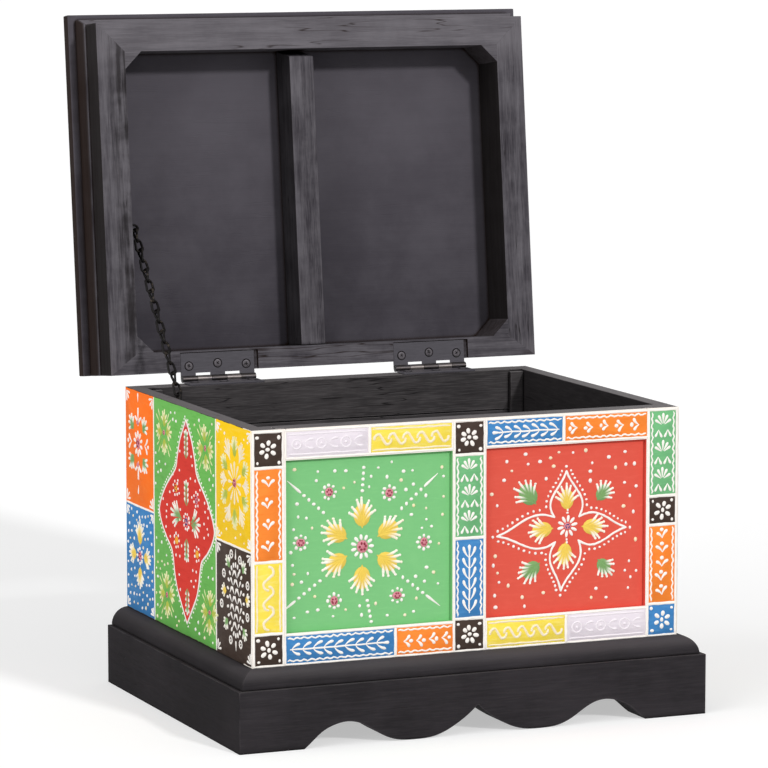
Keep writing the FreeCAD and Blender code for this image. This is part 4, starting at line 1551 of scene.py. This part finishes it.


# Hinge screws

# Screw head from its countersink inwards: radius, height over the leaf, and 1 where it is bare. The
# countersink is a raised dark ring, painted shade for the shadow round the head.
screw_rings = ((3.95 * mm, 0.0, 0.0), (3.75 * mm, 0.2 * mm, 0.0), (3.3 * mm, 0.14 * mm, 0.0),
               (3.05 * mm, 0.14 * mm, 0.0), (2.95 * mm, 0.4 * mm, 1.0), (2.4 * mm, 0.5 * mm, 1.0))
screw_head_radius = 3.05 * mm
screw_head_depth = 1.5 * mm
screw_shank_radius = 1.5 * mm
screw_length = 12.0 * mm
cross_reach = 1.5 * mm
cross_half = 0.36 * mm
cross_depth = 0.8 * mm
cross_taper = 0.7
screw_sides = 24
screw_inset = 10.5 * mm
screw_middle_shift = 1.6 * mm
screw_shares = (-0.39, 0.0, 0.39)


def screw_mesh(turn):
    """A countersunk screw with a cross recess, head up at the origin; points, faces and tips."""
    work = bmesh.new()
    bare = work.verts.layers.float.new("bare")

    def ring(radius, height, share):
        verts = []
        for k in range(screw_sides):
            angle = 2 * math.pi * k / screw_sides
            vert = work.verts.new((radius * math.cos(angle), radius * math.sin(angle), height))
            vert[bare] = share
            verts.append(vert)
        return verts

    below = ((screw_shank_radius, -screw_length, 0.0), (screw_shank_radius, -screw_head_depth, 0.0),
             (screw_head_radius, 0.0, 0.0))
    rings = [ring(*place) for place in below + screw_rings]
    work.faces.new(rings[0])
    for lower, upper in zip(rings, rings[1:]):
        for k in range(screw_sides):
            n = (k + 1) % screw_sides
            work.faces.new((lower[k], lower[n], upper[n], upper[k]))
    face_height = screw_rings[-1][1]
    arm = ((cross_reach, -cross_half), (cross_reach, cross_half), (cross_half, cross_half))
    cross = []
    for quarter in range(4):
        swing = Matrix.Rotation(turn + quarter * math.pi / 2, 3, "Z")
        cross.extend(swing @ Vector((x, y, 0.0)) for x, y in arm)
    mouth = [work.verts.new(place + up * face_height) for place in cross]
    for vert in mouth:
        vert[bare] = 1.0
    recess = [work.verts.new(place * cross_taper + up * (face_height - cross_depth)) for place in cross]
    edges = []
    for loop in (rings[-1], mouth):
        for pair in zip(loop[-1:] + loop[:-1], loop):
            edges.append(work.edges.get(pair) or work.edges.new(pair))
    bmesh.ops.triangle_fill(work, use_beauty=True, use_dissolve=False, edges=edges)
    for i in range(len(mouth)):
        work.faces.new((mouth[i - 1], mouth[i], recess[i], recess[i - 1]))
    work.faces.new(recess)
    work.verts.index_update()
    points = [vert.co.copy() for vert in work.verts]
    tips = [vert[bare] for vert in work.verts]
    faces = [tuple(vert.index for vert in face.verts) for face in work.faces]
    work.free()
    return points, faces, tips


def hinge_screws(name, node, body, leaves, head_lift, facing):
    """Three screws in each of two leaves; facing turns them into place about the hinge line."""
    points = []
    faces = []
    tips = []
    for leaf in leaves:
        low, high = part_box(leaf)
        for share in screw_shares:
            inset = screw_inset + (screw_middle_shift if share == 0.0 else 0.0)
            head = Vector(((low.x + high.x) / 2 + share * (high.x - low.x), -inset, head_lift))
            screw_points, screw_faces, screw_tips = screw_mesh(hand.uniform(0.0, math.pi / 2))
            tips.extend(screw_tips)
            join_mesh(points, faces, [facing(head, place) for place in screw_points], screw_faces)
    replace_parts(build(name, points, faces, screw_finish, body, tips), node)


opening = Matrix.Rotation(-lid_angle, 3, "X")
pin_line = Vector((0.0, hinge_line.y, hinge_line.z))


def box_screw(head, place):
    return pin_line + head + place


def lid_screw(head, place):
    return pin_line + opening @ (head + Vector((place.x, -place.y, -place.z)))


box_leaves = ("hinge_left_box_leaf", "hinge_right_box_leaf")
lid_leaves = ("hinge_left_lid_leaf", "hinge_right_lid_leaf")
# Height of the screwed face of each leaf over the hinge line
leaf_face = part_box("back_upper_board")[1].z + screw_head_depth - hinge_line.z
lid_leaf_face = 1.3 * mm
hinge_screws("box_screw_heads", "box_hinge_screws", "box", box_leaves, leaf_face, box_screw)
hinge_screws("lid_screw_heads", "lid_hinge_screws", "lid", lid_leaves, lid_leaf_face, lid_screw)


# Floor, light and camera

floor_half = 30.0
floor_tone = grey(0.62)
floor_glow = 0.475
world_light = 0.4
# Lamps: name, direction of the light, strength and softness in radians
lamps = (("key", (-0.22, 0.82, -0.46), 1.75, 0.1), ("fill", (0.92, 0.22, -0.34), 2.05, 1.1))
camera_place = Vector((-1.2501, -2.9768, 0.6557))
camera_target = Vector((0.0207, 0.0406, 0.2399))
camera_lens = 191.6


def shown_rays(tree):
    """1 for what the camera sees, directly, in a reflection or through glass."""
    rays = add(tree, "LightPath")
    bent = maths(tree, "MAXIMUM", rays["Is Glossy Ray"], rays["Is Transmission Ray"])
    return maths(tree, "MAXIMUM", rays["Is Camera Ray"], bent)


def facing_along(way):
    """Turn of a lamp or camera that points along a direction."""
    return way.to_track_quat("-Z", "Y").to_euler()


def studio():
    """A pale floor that keeps the shadow, a white backdrop, two soft lamps and the camera."""
    scene = bpy.context.scene
    scene.view_settings.view_transform = "Standard"
    mesh = bpy.data.meshes.new("studio_floor")
    corners = [(-floor_half, -floor_half, 0.0), (floor_half, -floor_half, 0.0),
               (floor_half, floor_half, 0.0), (-floor_half, floor_half, 0.0)]
    mesh.from_pydata(corners, [], [(0, 1, 2, 3)])
    floor = bpy.data.objects.new("studio_floor", mesh)
    scene.collection.objects.link(floor)
    finish = bpy.data.materials.new("studio floor")
    finish.use_nodes = True
    tree = finish.node_tree
    tree.nodes.clear()
    matt = add(tree, "BsdfDiffuse", {"Color": floor_tone})[0]
    glow = add(tree, "Emission", {"Color": grey(1.0), "Strength": floor_glow})[0]
    lit = add(tree, "AddShader", {0: matt, 1: glow})[0]
    surface = add(tree, "MixShader", {0: shown_rays(tree), 1: matt, 2: lit})[0]
    add(tree, "OutputMaterial", {"Surface": surface})
    mesh.materials.append(finish)

    world = bpy.data.worlds.new("studio")
    scene.world = world
    world.use_nodes = True
    tree = world.node_tree
    tree.nodes.clear()
    around = add(tree, "Background", {"Color": grey(1.0), "Strength": world_light})[0]
    backdrop = add(tree, "Background", {"Color": grey(1.0), "Strength": 1.0})[0]
    surface = add(tree, "MixShader", {0: shown_rays(tree), 1: around, 2: backdrop})[0]
    add(tree, "OutputWorld", {"Surface": surface})

    for name, direction, strength, softness in lamps:
        lamp = bpy.data.lights.new(name, "SUN")
        lamp.energy = strength
        lamp.angle = softness
        lamp_object = bpy.data.objects.new(name, lamp)
        lamp_object.rotation_euler = facing_along(Vector(direction))
        scene.collection.objects.link(lamp_object)

    camera = bpy.data.cameras.new("camera")
    camera.lens = camera_lens
    camera.sensor_width = 36.0
    camera.clip_end = 200.0
    camera_object = bpy.data.objects.new("camera", camera)
    camera_object.location = camera_place
    camera_object.rotation_euler = facing_along(camera_target - camera_place)
    scene.collection.objects.link(camera_object)
    scene.camera = camera_object


studio()
